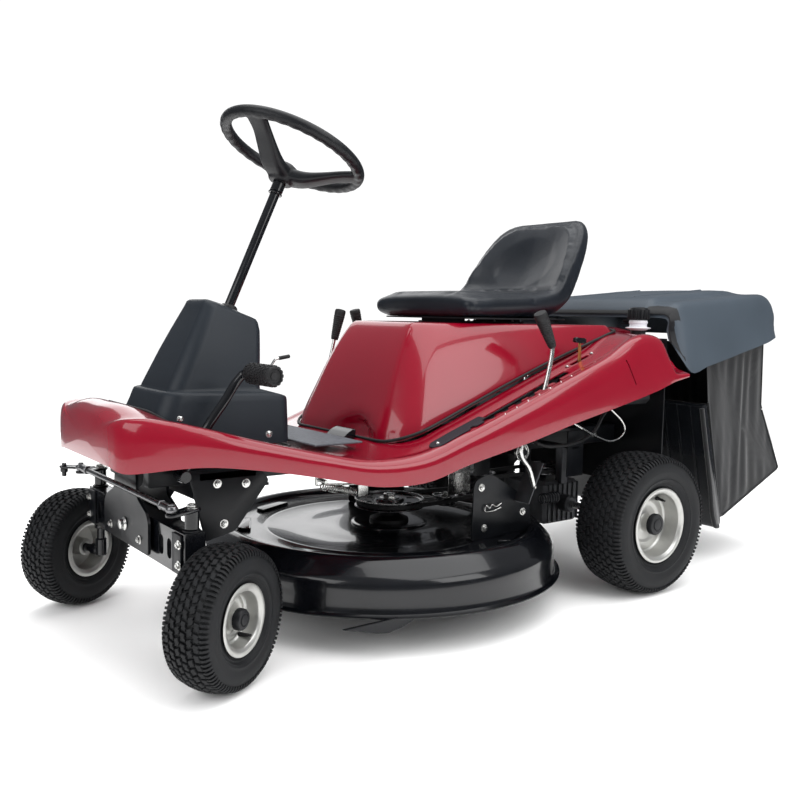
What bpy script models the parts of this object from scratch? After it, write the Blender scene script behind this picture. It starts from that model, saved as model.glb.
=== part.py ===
"""Ride-on rotary mower with a rear grass bag, built as separate pieces in their working places.

Metres, +Z up, the nose towards -Y, the driver's left hand towards +X. Everything is laid out
from the ground line and the middle of the wheelbase, which an empty then sets MID_Y behind
the origin so that the origin lies under the middle of the whole machine. The front wheels
stand turned to the left, as the mower is parked.
"""

import math

import bmesh
import bpy
from mathutils import Matrix, Vector

# ---- overall layout -----------------------------------------------------------------
MID_Y = -0.285            # middle of the wheelbase, seen from the middle of the machine
WHEELBASE = 1.2235
FRONT_Y = -WHEELBASE / 2
REAR_Y = WHEELBASE / 2
GAP = 0.0004              # clearance between pieces that touch
SHEET = 0.003             # pressed steel and moulded covers

# ---- wheels -------------------------------------------------------------------------
FRONT_TYRE_R = 0.140
FRONT_TYRE_W = 0.100
FRONT_RIM_R = 0.062
REAR_TYRE_R = 0.184
REAR_TYRE_W = 0.148
REAR_RIM_R = 0.091
FRONT_TRACK = 0.681
REAR_TRACK = 0.717
WHEEL_SIDES = 28
RIM_SIDES = 16

# ---- front axle and steering --------------------------------------------------------
STUB = 0.078              # kingpin to the middle of the wheel
KINGPIN_X = FRONT_TRACK / 2 - STUB
KINGPIN_R = 0.0095
BORE_CLEAR = 0.0009       # running clearance of the axle's bores
BEAM_HALF = KINGPIN_X + 0.016
BEAM_DEPTH = 0.044
BEAM_LOW = 0.209
BEAM_HIGH = 0.295
PIVOT_Z = 0.262
PIVOT_R = 0.008
ARM_LOW = 0.335
ARM_THICK = 0.006
ARM_LENGTH = 0.060
HORN_LENGTH = 0.092
STEER_LEFT = math.radians(29.0)
STEER_RIGHT = math.radians(25.6)
COLUMN_TILT = math.radians(24.0)
COLUMN_R = 0.011
WHEEL_CENTRE = (0.0, -0.247, 1.087)
WHEEL_RIM_R = 0.163
WHEEL_TUBE_R = 0.014
WHEEL_DISH = 0.062        # the hub sits this far below the rim
COLUMN_FOOT = 0.02441     # column's lower end behind the face of the axle beam

# ---- frame --------------------------------------------------------------------------
RAIL_X = 0.100
RAIL_WIDE = 0.030
RAIL_LOW = 0.355
RAIL_HIGH = 0.405
RAIL_OVERHANG = 0.03425   # rails ahead of the front axle's line
RAIL_FRONT = FRONT_Y - RAIL_OVERHANG
RAIL_REAR = 0.790

# ---- cutting deck -------------------------------------------------------------------
DECK_Y = 0.020
DECK_AXLE_GAP = 0.14675   # skirt of the deck to the rear axle's line
DECK_R = REAR_Y - DECK_Y - DECK_AXLE_GAP
DECK_SCALE = DECK_R / 0.445   # brackets and skid keep their place on the dish
DECK_LIP = 0.015
DECK_LOW = 0.085
DECK_SHOULDER = 0.165
DECK_TOP = 0.200
SPINDLE_Y = 0.050
SPINDLE_R = 0.0125
PULLEY_Z = 0.233
DRIVE_Z = 0.272
BLADE_Z = 0.108
BLADE_ROOM = 0.075        # blade tip to the skirt, measured from the dish's centre line
BLADE_LENGTH = 2 * (DECK_R - BLADE_ROOM)
CRANK_Y = 0.360
SPINDLE_PULLEY_R = 0.090
ENGINE_PULLEY_R = 0.045
DRIVE_PULLEY_R = 0.060
IDLER_R = 0.034
IDLER_PLACE = (0.050, 0.197)
GROOVE = 0.012            # depth of a belt groove
BELT_THICK = 0.010

# ---- body ---------------------------------------------------------------------------
# station along the machine: y, half width, lower edge, side ridge, crown at the middle
TUB_STATIONS = [
    (-0.732, 0.150, 0.413, 0.486, 0.496),
    (-0.727, 0.180, 0.407, 0.496, 0.510),
    (-0.715, 0.203, 0.405, 0.503, 0.520),
    (-0.690, 0.224, 0.408, 0.506, 0.526),
    (-0.640, 0.248, 0.414, 0.500, 0.512),
    (-0.585, 0.266, 0.416, 0.487, 0.478),
    (-0.470, 0.291, 0.403, 0.456, 0.442),
    (-0.340, 0.319, 0.379, 0.425, 0.420),
    (-0.225, 0.334, 0.354, 0.404, 0.412),
    (-0.110, 0.344, 0.352, 0.408, 0.424),
    (0.013, 0.352, 0.383, 0.447, 0.470),
    (0.197, 0.360, 0.423, 0.513, 0.542),
    (0.344, 0.366, 0.460, 0.568, 0.596),
    (0.474, 0.370, 0.489, 0.618, 0.638),
    (0.600, 0.373, 0.518, 0.672, 0.678),
    (0.655, 0.374, 0.532, 0.662, 0.688),
    (0.690, 0.374, 0.543, 0.620, 0.688),
    (0.722, 0.374, 0.552, 0.576, 0.688),
    (0.775, 0.374, 0.562, 0.572, 0.688),
]
HOOD_HALF = 0.245
HOOD_FRONT = -0.112
HOOD_REAR = 0.625
HOOD_TOP = 0.697
HOOD_GAP = 0.004
CONSOLE_TOP = 0.743
HINGE_Y = 0.640           # rear edge of the hood, where it tips up
HINGE_Z = 0.690

# ---- controls -----------------------------------------------------------------------
LEVER_X = 0.310
LEVER_PIVOT = (0.270, 0.250, 0.274)
LEVER_R = 0.006
GATE_FRONT = (-0.058, 0.463)
GATE_REAR = (0.368, 0.607)
THROTTLE_PLACE = (0.290, 0.429, 0.600)
PEDAL_PIVOT = (0.170, -0.590, 0.385)
PEDAL_TUBE_R = 0.0095
PAD_R = 0.022
SHIFT_PIVOT = (-0.262, -0.028, 0.345)
CLUTCH_PIVOT = (-0.280, 0.215, 0.400)

# ---- seat ---------------------------------------------------------------------------
SEAT_HALF = 0.210
SEAT_FRONT = 0.125
SEAT_LOW = 0.712
SEAT_THICK = 0.062
SEAT_BACK_Y = 0.455
BACK_TOP = (0.632, 1.000)

# ---- bag ----------------------------------------------------------------------------
BAG_HALF = 0.310
LID_HALF = 0.345
BAG_HINGE = (0.0, 0.792, 0.728)
PANEL_HALF = 0.315
FUEL_CAP_PLACE = (0.220, 0.744)
CHUTE_X = (-0.265, -0.125)

RED = (0.42, 0.004, 0.030)
BLACK = (0.012, 0.013, 0.015)
PLASTIC = (0.035, 0.045, 0.058)
LID_GREY = (0.085, 0.105, 0.125)
VINYL = (0.020, 0.024, 0.032)
RUBBER = (0.018, 0.018, 0.020)
STEEL = (0.62, 0.62, 0.62)
FABRIC = (0.012, 0.012, 0.013)


# ---- tools --------------------------------------------------------------------------
def clear_scene():
    for ob in list(bpy.data.objects):
        bpy.data.objects.remove(ob, do_unlink=True)


def finish(name, colour, roughness=0.5, metallic=0.0):
    mat = bpy.data.materials.new(name)
    mat.use_nodes = True
    bsdf = mat.node_tree.nodes["Principled BSDF"]
    bsdf.inputs["Base Color"].default_value = (*colour, 1.0)
    bsdf.inputs["Roughness"].default_value = roughness
    bsdf.inputs["Metallic"].default_value = metallic
    return mat


def empty(name, place, parent=None, turn=(0.0, 0.0, 0.0)):
    ob = bpy.data.objects.new(name, None)
    bpy.context.scene.collection.objects.link(ob)
    ob.location = place
    ob.rotation_euler = turn
    ob.parent = parent
    return ob


def hang(ob, pivot):
    """Parents a piece to its pivot; its mesh is laid out in the machine's own coordinates."""
    ob.parent = pivot
    if pivot.parent:
        ob.matrix_parent_inverse = Matrix.Translation(-pivot.location)
    return ob


def piece(name, bm, pivot, mat, smooth=True):
    bmesh.ops.recalc_face_normals(bm, faces=bm.faces)
    mesh = bpy.data.meshes.new(name)
    bm.to_mesh(mesh)
    bm.free()
    ob = bpy.data.objects.new(name, mesh)
    bpy.context.scene.collection.objects.link(ob)
    if mat is not None:
        mesh.materials.append(mat)
    if smooth:
        mesh.shade_smooth()
        mesh.set_sharp_from_angle(angle=math.radians(35))
    return hang(ob, pivot)


def helper(name, bm, pivot):
    ob = piece(name, bm, pivot, None, smooth=False)
    ob.hide_render = True
    ob.display_type = "WIRE"
    return ob


def boolean(ob, other, operation):
    mod = ob.modifiers.new(operation.lower(), "BOOLEAN")
    mod.operation = operation
    mod.object = other
    mod.solver = "EXACT"


def box_mesh(low, high, bevel=0.0):
    bm = bmesh.new()
    size = [h - l for l, h in zip(low, high)]
    middle = [(h + l) / 2 for l, h in zip(low, high)]
    bmesh.ops.create_cube(bm, size=1.0)
    bmesh.ops.scale(bm, vec=size, verts=bm.verts)
    bmesh.ops.translate(bm, vec=middle, verts=bm.verts)
    if bevel:
        bmesh.ops.bevel(bm, geom=bm.edges[:], offset=bevel, segments=1, affect="EDGES")
    return bm


def prism_mesh(outline, axis, low, high):
    """An outline in the plane square to the axis, in the order of the other two, extruded."""
    bm = bmesh.new()
    k = "XYZ".index(axis)
    corners = []
    for pair in outline:
        place = list(pair)
        place.insert(k, low)
        corners.append(bm.verts.new(place))
    face = bm.faces.new(corners)
    step = [0.0, 0.0, 0.0]
    step[k] = high - low
    grown = bmesh.ops.extrude_face_region(bm, geom=[face])
    top = [v for v in grown["geom"] if isinstance(v, bmesh.types.BMVert)]
    bmesh.ops.translate(bm, vec=step, verts=top)
    return bm


def lathe_mesh(profile, sides, axis="Z", centre=(0.0, 0.0, 0.0), closed=True):
    """Turns a profile of (radius, height) points about an axis through the centre."""
    bm = bmesh.new()
    points = [bm.verts.new((r, 0.0, h)) for r, h in profile]
    edges = [bm.edges.new(pair) for pair in zip(points, points[1:])]
    if closed:
        edges.append(bm.edges.new((points[-1], points[0])))
    bmesh.ops.spin(
        bm, geom=points + edges, cent=(0, 0, 0), axis=(0, 0, 1), angle=math.tau, steps=sides,
        use_merge=True,
    )
    bmesh.ops.remove_doubles(bm, verts=bm.verts, dist=1e-6)
    if axis == "X":
        turn = Matrix.Rotation(math.pi / 2, 4, "Y")
    elif axis == "Y":
        turn = Matrix.Rotation(-math.pi / 2, 4, "X")
    else:
        turn = Matrix.Identity(4)
    bmesh.ops.transform(bm, matrix=Matrix.Translation(centre) @ turn, verts=bm.verts)
    return bm


def disc_mesh(radius, low, high, sides, axis="Z", centre=(0.0, 0.0, 0.0)):
    return lathe_mesh([(0, low), (radius, low), (radius, high), (0, high)], sides, axis, centre, closed=False)


def bar_mesh(start, end, radius, sides=12):
    """A round bar between two points."""
    a, b = Vector(start), Vector(end)
    bm = disc_mesh(radius, 0.0, (b - a).length, sides)
    turn = (b - a).to_track_quat("Z", "Y").to_matrix().to_4x4()
    bmesh.ops.transform(bm, matrix=Matrix.Translation(a) @ turn, verts=bm.verts)
    return bm


def tube(name, points, radius, pivot, mat, resolution=2):
    """A bent rod: a bevelled curve with filled caps."""
    data = bpy.data.curves.new(name, "CURVE")
    data.dimensions = "3D"
    data.bevel_depth = radius
    data.bevel_resolution = resolution
    data.use_fill_caps = True
    spline = data.splines.new("POLY")
    spline.points.add(len(points) - 1)
    for item, place in zip(spline.points, points):
        item.co = (*place, 1.0)
    data.materials.append(mat)
    ob = bpy.data.objects.new(name, data)
    bpy.context.scene.collection.objects.link(ob)
    return hang(ob, pivot)


def smooth_path(points, per_span=6):
    """Points of a smooth curve through the given ones."""
    pts = [Vector(p) for p in points]
    pts = [2 * pts[0] - pts[1]] + pts + [2 * pts[-1] - pts[-2]]
    path = []
    for a, b, c, d in zip(pts, pts[1:], pts[2:], pts[3:]):
        for k in range(per_span):
            t = k / per_span
            path.append(
                0.5 * ((2 * b) + (c - a) * t + (2 * a - 5 * b + 4 * c - d) * t * t
                       + (3 * b - a - 3 * c + d) * t ** 3)
            )
    path.append(pts[-2])
    return path


def loft_mesh(rings, cap_top=False):
    """Joins closed rings of the same number of points; the first one stays open."""
    bm = bmesh.new()
    rows = [[bm.verts.new(p) for p in ring] for ring in rings]
    for low, high in zip(rows, rows[1:]):
        for k in range(len(low)):
            n = (k + 1) % len(low)
            bm.faces.new((low[k], low[n], high[n], high[k]))
    if cap_top:
        bm.faces.new(rows[-1])
    return bm


def swept_mesh(points, radius, sides=10):
    """A round rod along a bent path, with flat ends."""
    path = [Vector(p) for p in points]
    rings = []
    for k, place in enumerate(path):
        ahead = path[min(k + 1, len(path) - 1)] - path[max(k - 1, 0)]
        turn = ahead.to_track_quat("Z", "X").to_matrix()
        ring = [turn @ Vector((x, y, 0.0)) for x, y in circle(0, 0, radius, sides)]
        rings.append([place + p for p in ring])
    bm = loft_mesh(rings, cap_top=True)
    bm.faces.new([v for v in list(bm.verts)[:sides]][::-1])
    return bm


def thicken(ob, amount):
    mod = ob.modifiers.new("wall", "SOLIDIFY")
    mod.thickness = amount
    mod.offset = -1.0
    return ob


def round_box(half_x, front, rear, corner_front, corner_rear, steps=4):
    """Plan outline with round corners, counter-clockwise from the rear left."""
    outline = []
    corners = [
        (half_x - corner_rear, rear - corner_rear, corner_rear, 0),
        (-half_x + corner_rear, rear - corner_rear, corner_rear, 90),
        (-half_x + corner_front, front + corner_front, corner_front, 180),
        (half_x - corner_front, front + corner_front, corner_front, 270),
    ]
    for x, y, r, begin in corners:
        for k in range(steps + 1):
            a = math.radians(begin + 90 * k / steps)
            outline.append((x + r * math.cos(a), y + r * math.sin(a)))
    return outline


def hull(points):
    """Convex outline of plan points, counter-clockwise."""
    pts = sorted(set(points))

    def half(sequence):
        out = []
        for p in sequence:
            while len(out) > 1 and (
                (out[-1][0] - out[-2][0]) * (p[1] - out[-2][1])
                - (out[-1][1] - out[-2][1]) * (p[0] - out[-2][0])
            ) <= 1e-12:
                out.pop()
            out.append(p)
        return out[:-1]

    return half(pts) + half(pts[::-1])


def circle(x, y, r, sides=24):
    return [
        (x + r * math.cos(math.tau * k / sides), y + r * math.sin(math.tau * k / sides))
        for k in range(sides)
    ]


def between(table, y, column):
    """Reads one column of the body's stations at any place along the machine."""
    if y <= table[0][0]:
        return table[0][column]
    for a, b in zip(table, table[1:]):
        if y <= b[0]:
            t = (y - a[0]) / (b[0] - a[0])
            return a[column] + t * (b[column] - a[column])
    return table[-1][column]


def deck_plane(y):
    """Height of the sloping body top that the hood stands on."""
    return between(TUB_STATIONS, y, 4)


# ---- frame and running gear ---------------------------------------------------------
def build_frame(root):
    mat = finish("frame_paint", BLACK, 0.35, 0.2)
    half = RAIL_WIDE / 2
    frame = piece(
        "chassis_frame",
        box_mesh((RAIL_X - half, RAIL_FRONT, RAIL_LOW), (RAIL_X + half, RAIL_REAR, RAIL_HIGH)),
        root, mat, smooth=False,
    )
    front_face = FRONT_Y - BEAM_DEPTH / 2
    rear_face = FRONT_Y + BEAM_DEPTH / 2
    plate = 0.006
    reach = 0.130
    low = BEAM_LOW + 0.012
    over = 0.002
    extra = [
        ((-RAIL_X - half, RAIL_FRONT, RAIL_LOW), (-RAIL_X + half, RAIL_REAR, RAIL_HIGH)),
        ((-reach, front_face - 0.008 - plate, low), (reach, front_face - 0.008, RAIL_HIGH - over)),
        ((-reach, rear_face + 0.008, low), (reach, rear_face + 0.008 + plate, RAIL_HIGH - over)),
        ((-reach, front_face - 0.008 - plate, RAIL_HIGH - 0.008),
         (reach, rear_face + 0.014, RAIL_HIGH + over)),
        ((-0.150, 0.150, RAIL_HIGH - over), (0.150, 0.560, RAIL_HIGH + 0.008)),
        ((-RAIL_X - 0.030, -0.300, RAIL_LOW + 0.010), (RAIL_X + 0.030, -0.270, RAIL_HIGH - 0.010)),
        ((-RAIL_X, 0.740, RAIL_LOW + 0.005), (RAIL_X, 0.770, RAIL_HIGH - 0.005)),
    ]
    for k, (low_corner, high_corner) in enumerate(extra):
        boolean(frame, helper(f"frame_member_{k}", box_mesh(low_corner, high_corner), root), "UNION")
    pin = disc_mesh(PIVOT_R, front_face - 0.026, rear_face + 0.020, 16, "Y", (0, 0, PIVOT_Z))
    boolean(frame, helper("axle_pin", pin, root), "UNION")
    gusset = [(0.05175, 0.398), (0.18675, 0.392), (0.21175, 0.362), (0.13375, 0.262), (0.07175, 0.247)]
    gusset = [(FRONT_Y + along, up) for along, up in gusset]
    for side in (1, -1):
        inner, outer = sorted((side * (RAIL_X + half - 0.002), side * (RAIL_X + half + 0.065)))
        arm = box_mesh((inner, FRONT_Y + 0.11175, 0.366), (outer, FRONT_Y + 0.15175, 0.390))
        boolean(frame, helper(f"plate_arm_{side}", arm, root), "UNION")
        inner, outer = sorted((side * (RAIL_X + half + 0.060), side * (RAIL_X + half + 0.065)))
        flank = prism_mesh(gusset, "X", inner, outer)
        boolean(frame, helper(f"side_plate_{side}", flank, root), "UNION")
    hole = disc_mesh(0.017, CRANK_Y - 0.1, CRANK_Y + 0.1, 16)
    bmesh.ops.translate(hole, vec=(0, CRANK_Y, 0.10), verts=hole.verts)
    boolean(frame, helper("crank_hole", hole, root), "DIFFERENCE")


def build_front_axle(axle):
    mat = finish("axle_paint", BLACK, 0.3, 0.3)
    half = BEAM_DEPTH / 2
    beam = piece(
        "front_axle_beam",
        box_mesh((-BEAM_HALF, FRONT_Y - half, BEAM_LOW), (BEAM_HALF, FRONT_Y + half, BEAM_HIGH), 0.003),
        axle, mat, smooth=False,
    )
    for side in (1, -1):
        bore = disc_mesh(KINGPIN_R + BORE_CLEAR, BEAM_LOW - 0.02, BEAM_HIGH + 0.02, 20)
        bmesh.ops.translate(bore, vec=(side * KINGPIN_X, FRONT_Y, 0), verts=bore.verts)
        boolean(beam, helper(f"kingpin_bore_{side}", bore, axle), "DIFFERENCE")
    bore = disc_mesh(PIVOT_R + BORE_CLEAR, FRONT_Y - 0.05, FRONT_Y + 0.05, 20, "Y", (0, 0, PIVOT_Z))
    boolean(beam, helper("pivot_bore", bore, axle), "DIFFERENCE")


def build_knuckle(name, side, steer, mat):
    x = side * KINGPIN_X
    foot = FRONT_TYRE_R
    pin = bar_mesh((x, FRONT_Y, foot - 0.004), (x, FRONT_Y, ARM_LOW + 0.002), KINGPIN_R, 16)
    knuckle = piece(name, pin, steer, mat)
    stub = bar_mesh((x - side * 0.008, FRONT_Y, foot), (x + side * (STUB + 0.024), FRONT_Y, foot), 0.0092, 16)
    boolean(knuckle, helper(name + "_stub", stub, steer), "UNION")
    collar = bar_mesh((x, FRONT_Y, BEAM_LOW - 0.014), (x, FRONT_Y, BEAM_LOW - 0.001), 0.015, 16)
    boolean(knuckle, helper(name + "_collar", collar, steer), "UNION")
    top = bar_mesh((x, FRONT_Y, BEAM_HIGH + 0.001), (x, FRONT_Y, ARM_LOW + 0.001), 0.014, 16)
    boolean(knuckle, helper(name + "_boss", top, steer), "UNION")
    arm = hull(circle(x, FRONT_Y, 0.017, 12) + circle(x, FRONT_Y - ARM_LENGTH, 0.012, 12))
    plate = prism_mesh(arm, "Z", ARM_LOW, ARM_LOW + ARM_THICK)
    boolean(knuckle, helper(name + "_arm", plate, steer), "UNION")
    if side < 0:
        aim = math.radians(-134.5) - STEER_RIGHT
        tip = (x + HORN_LENGTH * math.cos(aim), FRONT_Y + HORN_LENGTH * math.sin(aim))
        horn = hull(circle(x, FRONT_Y, 0.016, 12) + circle(*tip, 0.011, 12))
        plate = prism_mesh(horn, "Z", ARM_LOW + 0.0005, ARM_LOW + ARM_THICK - 0.0005)
        boolean(knuckle, helper(name + "_horn", plate, steer), "UNION")
        stud = bar_mesh((*tip, ARM_LOW - 0.020), (*tip, ARM_LOW + 0.010), 0.006, 12)
        boolean(knuckle, helper(name + "_stud", stud, steer), "UNION")


def arm_tip(side, angle):
    x = side * KINGPIN_X + ARM_LENGTH * math.sin(angle)
    return x, FRONT_Y - ARM_LENGTH * math.cos(angle)


def build_tie_rod(pivot, mat):
    left = arm_tip(1, STEER_LEFT)
    right = arm_tip(-1, STEER_RIGHT)
    z = ARM_LOW + ARM_THICK + 0.008
    drop = 0.0065
    rod = piece("tie_rod", bar_mesh((*left, z), (*right, z), 0.006, 12), pivot, mat)
    for name, (x, y) in (("left", left), ("right", right)):
        end = bar_mesh((x, y, z - drop), (x, y, z + 0.009), 0.010, 12)
        boolean(rod, helper("rod_end_" + name, end, pivot), "UNION")


def tyre_profile(radius, width, rim_r):
    """Section of a turf tyre: beads, bulging side walls and a flat-crowned tread."""
    half = width / 2
    crown = radius - 0.004
    depth = radius - rim_r
    return [
        (rim_r + 0.0006, half * 0.76), (rim_r + 0.009, half * 0.775), (rim_r + depth * 0.28, half * 0.96),
        (rim_r + depth * 0.60, half),
        (radius - 0.014, half * 0.93), (crown, half * 0.70), (radius, half * 0.25),
        (radius, -half * 0.25), (crown, -half * 0.70), (radius - 0.014, -half * 0.93),
        (rim_r + depth * 0.60, -half), (rim_r + depth * 0.28, -half * 0.96), (rim_r + 0.009, -half * 0.775),
        (rim_r + 0.0006, -half * 0.76),
    ]


def rim_profile(rim_r, half, bore, outward):
    """Pressed rim, dished towards the machine: barrel, flanges and a hub tube."""
    sheet = 0.0035
    face = 0.18 * half
    hub = bore + 0.010
    flange = rim_r + 0.007
    outer = [
        (bore, -0.55 * half), (hub, -0.55 * half), (hub, face - sheet), (rim_r - 0.012, face - sheet),
        (rim_r - 0.010, -0.85 * half), (flange, -0.85 * half), (flange, -0.80 * half),
        (rim_r - 0.002, -0.79 * half), (rim_r - 0.005, 0.0), (rim_r - 0.002, 0.79 * half),
        (flange, 0.80 * half), (flange, 0.85 * half), (rim_r - 0.009, 0.85 * half),
        (rim_r - 0.011, face), (hub, face + 0.004), (hub, 0.55 * half), (bore, 0.55 * half),
    ]
    return [(r, h * outward) for r, h in outer]


def build_wheel(name, centre, radius, width, rim_r, outward, pivot, mats):
    half = width / 2
    bore = 0.0101
    tyre = lathe_mesh(tyre_profile(radius, width, rim_r), WHEEL_SIDES, "X", centre)
    piece("tyre_" + name, tyre, pivot, mats["tyre"])
    rim = lathe_mesh(rim_profile(rim_r, half, bore, outward), RIM_SIDES, "X", centre)
    piece("rim_" + name, rim, pivot, mats["rim"])
    near = 0.55 * half + GAP
    far = near + 0.016
    cap_r = 0.24 * rim_r + 0.006
    profile = [(0, near), (cap_r, near), (cap_r, far - 0.004), (cap_r - 0.004, far), (0, far)]
    cap = lathe_mesh([(r, h * outward) for r, h in profile], 16, "X", centre, closed=False)
    piece("hub_cap_" + name, cap, pivot, mats["cap"])


def build_running_gear(root):
    mats = {
        "tyre": finish("tyre_rubber", RUBBER, 0.7),
        "rim": finish("rim_silver", STEEL, 0.35, 0.8),
        "cap": finish("cap_plastic", BLACK, 0.5),
    }
    iron = finish("knuckle_paint", BLACK, 0.3, 0.4)
    bright = finish("bright_steel", STEEL, 0.3, 1.0)
    for name, side, angle in (("left", 1, STEER_LEFT), ("right", -1, STEER_RIGHT)):
        steer = empty("steer_" + name, (side * KINGPIN_X, FRONT_Y, FRONT_TYRE_R), root)
        steer.rotation_euler = (0, 0, angle)
        build_knuckle("knuckle_" + name, side, steer, iron)
        centre = (side * FRONT_TRACK / 2, FRONT_Y, FRONT_TYRE_R)
        build_wheel("front_" + name, centre, FRONT_TYRE_R, FRONT_TYRE_W, FRONT_RIM_R, side, steer, mats)
        spin = empty("rear_spin_" + name, (side * REAR_TRACK / 2, REAR_Y, REAR_TYRE_R), root)
        centre = (side * REAR_TRACK / 2, REAR_Y, REAR_TYRE_R)
        build_wheel("rear_" + name, centre, REAR_TYRE_R, REAR_TYRE_W, REAR_RIM_R, side, spin, mats)
        shaft = bar_mesh(
            (side * 0.083, REAR_Y, REAR_TYRE_R), (side * (REAR_TRACK / 2 + 0.038), REAR_Y, REAR_TYRE_R),
            0.0096, 16,
        )
        piece("axle_shaft_" + name, shaft, spin, bright)
    build_tie_rod(root, bright)


# ---- power --------------------------------------------------------------------------
def pulley_mesh(radius, groove_heights, low, high, bore, x, y):
    """A turned pulley with one V groove at each height."""
    outer = []
    for z in groove_heights:
        half = BELT_THICK / 2 + 0.0012
        outer += [(radius, z - half - 0.002), (radius - GROOVE, z - half), (radius - GROOVE, z + half)]
        outer += [(radius, z + half + 0.002)]
    profile = [(bore, low), (radius, low)] + outer + [(radius, high), (bore, high)]
    bm = lathe_mesh(profile, 20)
    bmesh.ops.translate(bm, vec=(x, y, 0), verts=bm.verts)
    return bm


def belt_mesh(wheels, z):
    """A belt round several pulleys: their common outline with the same one cut from it."""
    ride = BELT_THICK * 0.7
    outer, inner = [], []
    for x, y, r in wheels:
        seat = r - GROOVE + 0.0016
        outer += circle(x, y, seat + ride, 20)
        inner += circle(x, y, seat, 20)
    half = BELT_THICK / 2
    return (
        prism_mesh(hull(outer), "Z", z - half, z + half),
        prism_mesh(hull(inner), "Z", z - half - 0.01, z + half + 0.01),
    )


def build_power(root, crank, deck_spin, drive):
    alloy = finish("engine_alloy", (0.05, 0.05, 0.055), 0.45, 0.5)
    bright = finish("pulley_steel", (0.30, 0.30, 0.31), 0.35, 0.9)
    rubber = finish("belt_rubber", RUBBER, 0.8)
    floor = RAIL_HIGH + 0.008 + GAP
    engine = piece(
        "engine", box_mesh((-0.110, CRANK_Y - 0.110, floor), (0.110, CRANK_Y + 0.120, 0.520), 0.006),
        root, alloy, smooth=False,
    )
    cowl = disc_mesh(0.112, 0.515, 0.634, 24)
    bmesh.ops.translate(cowl, vec=(0, CRANK_Y + 0.005, 0), verts=cowl.verts)
    boolean(engine, helper("engine_cowl", cowl, root), "UNION")
    head = box_mesh((-0.060, CRANK_Y - 0.215, 0.430), (0.060, CRANK_Y - 0.105, 0.535), 0.004)
    boolean(engine, helper("engine_head", head, root), "UNION")
    muffler = box_mesh((-0.175, CRANK_Y - 0.200, 0.440), (-0.055, CRANK_Y - 0.125, 0.520), 0.008)
    boolean(engine, helper("engine_muffler", muffler, root), "UNION")
    shaft = bar_mesh((0, CRANK_Y, 0.214), (0, CRANK_Y, floor + 0.010), 0.0110, 16)
    boolean(engine, helper("engine_crankshaft", shaft, root), "UNION")

    wheel = pulley_mesh(
        ENGINE_PULLEY_R, (PULLEY_Z, DRIVE_Z), PULLEY_Z - 0.010, DRIVE_Z + 0.010, 0.0122, 0, CRANK_Y
    )
    piece("engine_pulley", wheel, crank, bright)
    piece("transaxle_pulley",
          pulley_mesh(DRIVE_PULLEY_R, (DRIVE_Z,), DRIVE_Z - 0.010, DRIVE_Z + 0.010, 0.0112, 0, REAR_Y),
          drive, bright)
    piece("spindle_pulley",
          pulley_mesh(SPINDLE_PULLEY_R, (PULLEY_Z,), PULLEY_Z - 0.010, PULLEY_Z + 0.010, SPINDLE_R + 0.0008,
                      0, SPINDLE_Y), deck_spin, bright)
    loops = {
        "blade_belt": (
            [(0, SPINDLE_Y, SPINDLE_PULLEY_R), (*IDLER_PLACE, IDLER_R), (0, CRANK_Y, ENGINE_PULLEY_R)],
            PULLEY_Z,
        ),
        "drive_belt": ([(0, CRANK_Y, ENGINE_PULLEY_R), (0, REAR_Y, DRIVE_PULLEY_R)], DRIVE_Z),
    }
    for name, (wheels, z) in loops.items():
        outer, inner = belt_mesh(wheels, z)
        belt = piece(name, outer, root, rubber, smooth=False)
        boolean(belt, helper(name + "_inside", inner, root), "DIFFERENCE")

    box = box_mesh((-0.080, REAR_Y - 0.070, REAR_TYRE_R - 0.060),
                   (0.080, REAR_Y + 0.070, REAR_TYRE_R + 0.062), 0.010)
    transaxle = piece("transaxle", box, root, alloy, smooth=False)
    shaft = bar_mesh((0, REAR_Y, REAR_TYRE_R + 0.050), (0, REAR_Y, DRIVE_Z + 0.016), 0.0100, 16)
    boolean(transaxle, helper("transaxle_input", shaft, root), "UNION")
    for side in (1, -1):
        strut = box_mesh((side * 0.062 - 0.012, REAR_Y - 0.012, REAR_TYRE_R + 0.055),
                         (side * 0.062 + 0.012, REAR_Y + 0.012, RAIL_LOW - GAP))
        bmesh.ops.translate(strut, vec=(side * 0.012, 0, 0), verts=strut.verts)
        boolean(transaxle, helper(f"transaxle_strut_{side}", strut, root), "UNION")

    case = finish("battery_case", (0.03, 0.03, 0.035), 0.5)
    battery = box_mesh((-0.225, 0.420, 0.430), (-0.122, 0.570, 0.555), 0.004)
    piece("battery", battery, root, case, smooth=False)

    tank_mat = finish("tank_plastic", (0.62, 0.62, 0.66), 0.45)
    tank = piece("fuel_tank", box_mesh((0.130, 0.640, 0.480), (0.262, 0.766, 0.630), 0.012), root, tank_mat,
                 smooth=False)
    neck = disc_mesh(0.021, 0.620, 0.713, 20)
    bmesh.ops.translate(neck, vec=(*FUEL_CAP_PLACE, 0), verts=neck.verts)
    boolean(tank, helper("tank_neck", neck, root), "UNION")

    black = finish("chute_plastic", BLACK, 0.4)
    build_chute(root, black)
    hose = [(0.200, 0.300, 0.440), (0.262, 0.318, 0.398), (0.270, 0.385, 0.388), (0.270, 0.454, 0.393),
            (0.268, 0.517, 0.413), (0.262, 0.559, 0.455), (0.250, 0.600, 0.480), (0.235, 0.620, 0.520)]
    tube("fuel_hose", smooth_path(hose, 3), 0.0045, root, rubber, 1)
    cable = [(0.280, 0.395, 0.462), (0.298, 0.440, 0.434), (0.300, 0.483, 0.414), (0.300, 0.542, 0.394),
             (0.300, 0.586, 0.400), (0.300, 0.606, 0.421), (0.300, 0.590, 0.447), (0.298, 0.551, 0.476)]
    tube("throttle_cable", smooth_path(cable, 3), 0.0025, root, finish("cable_jacket", STEEL, 0.4, 0.6), 1)


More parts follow.
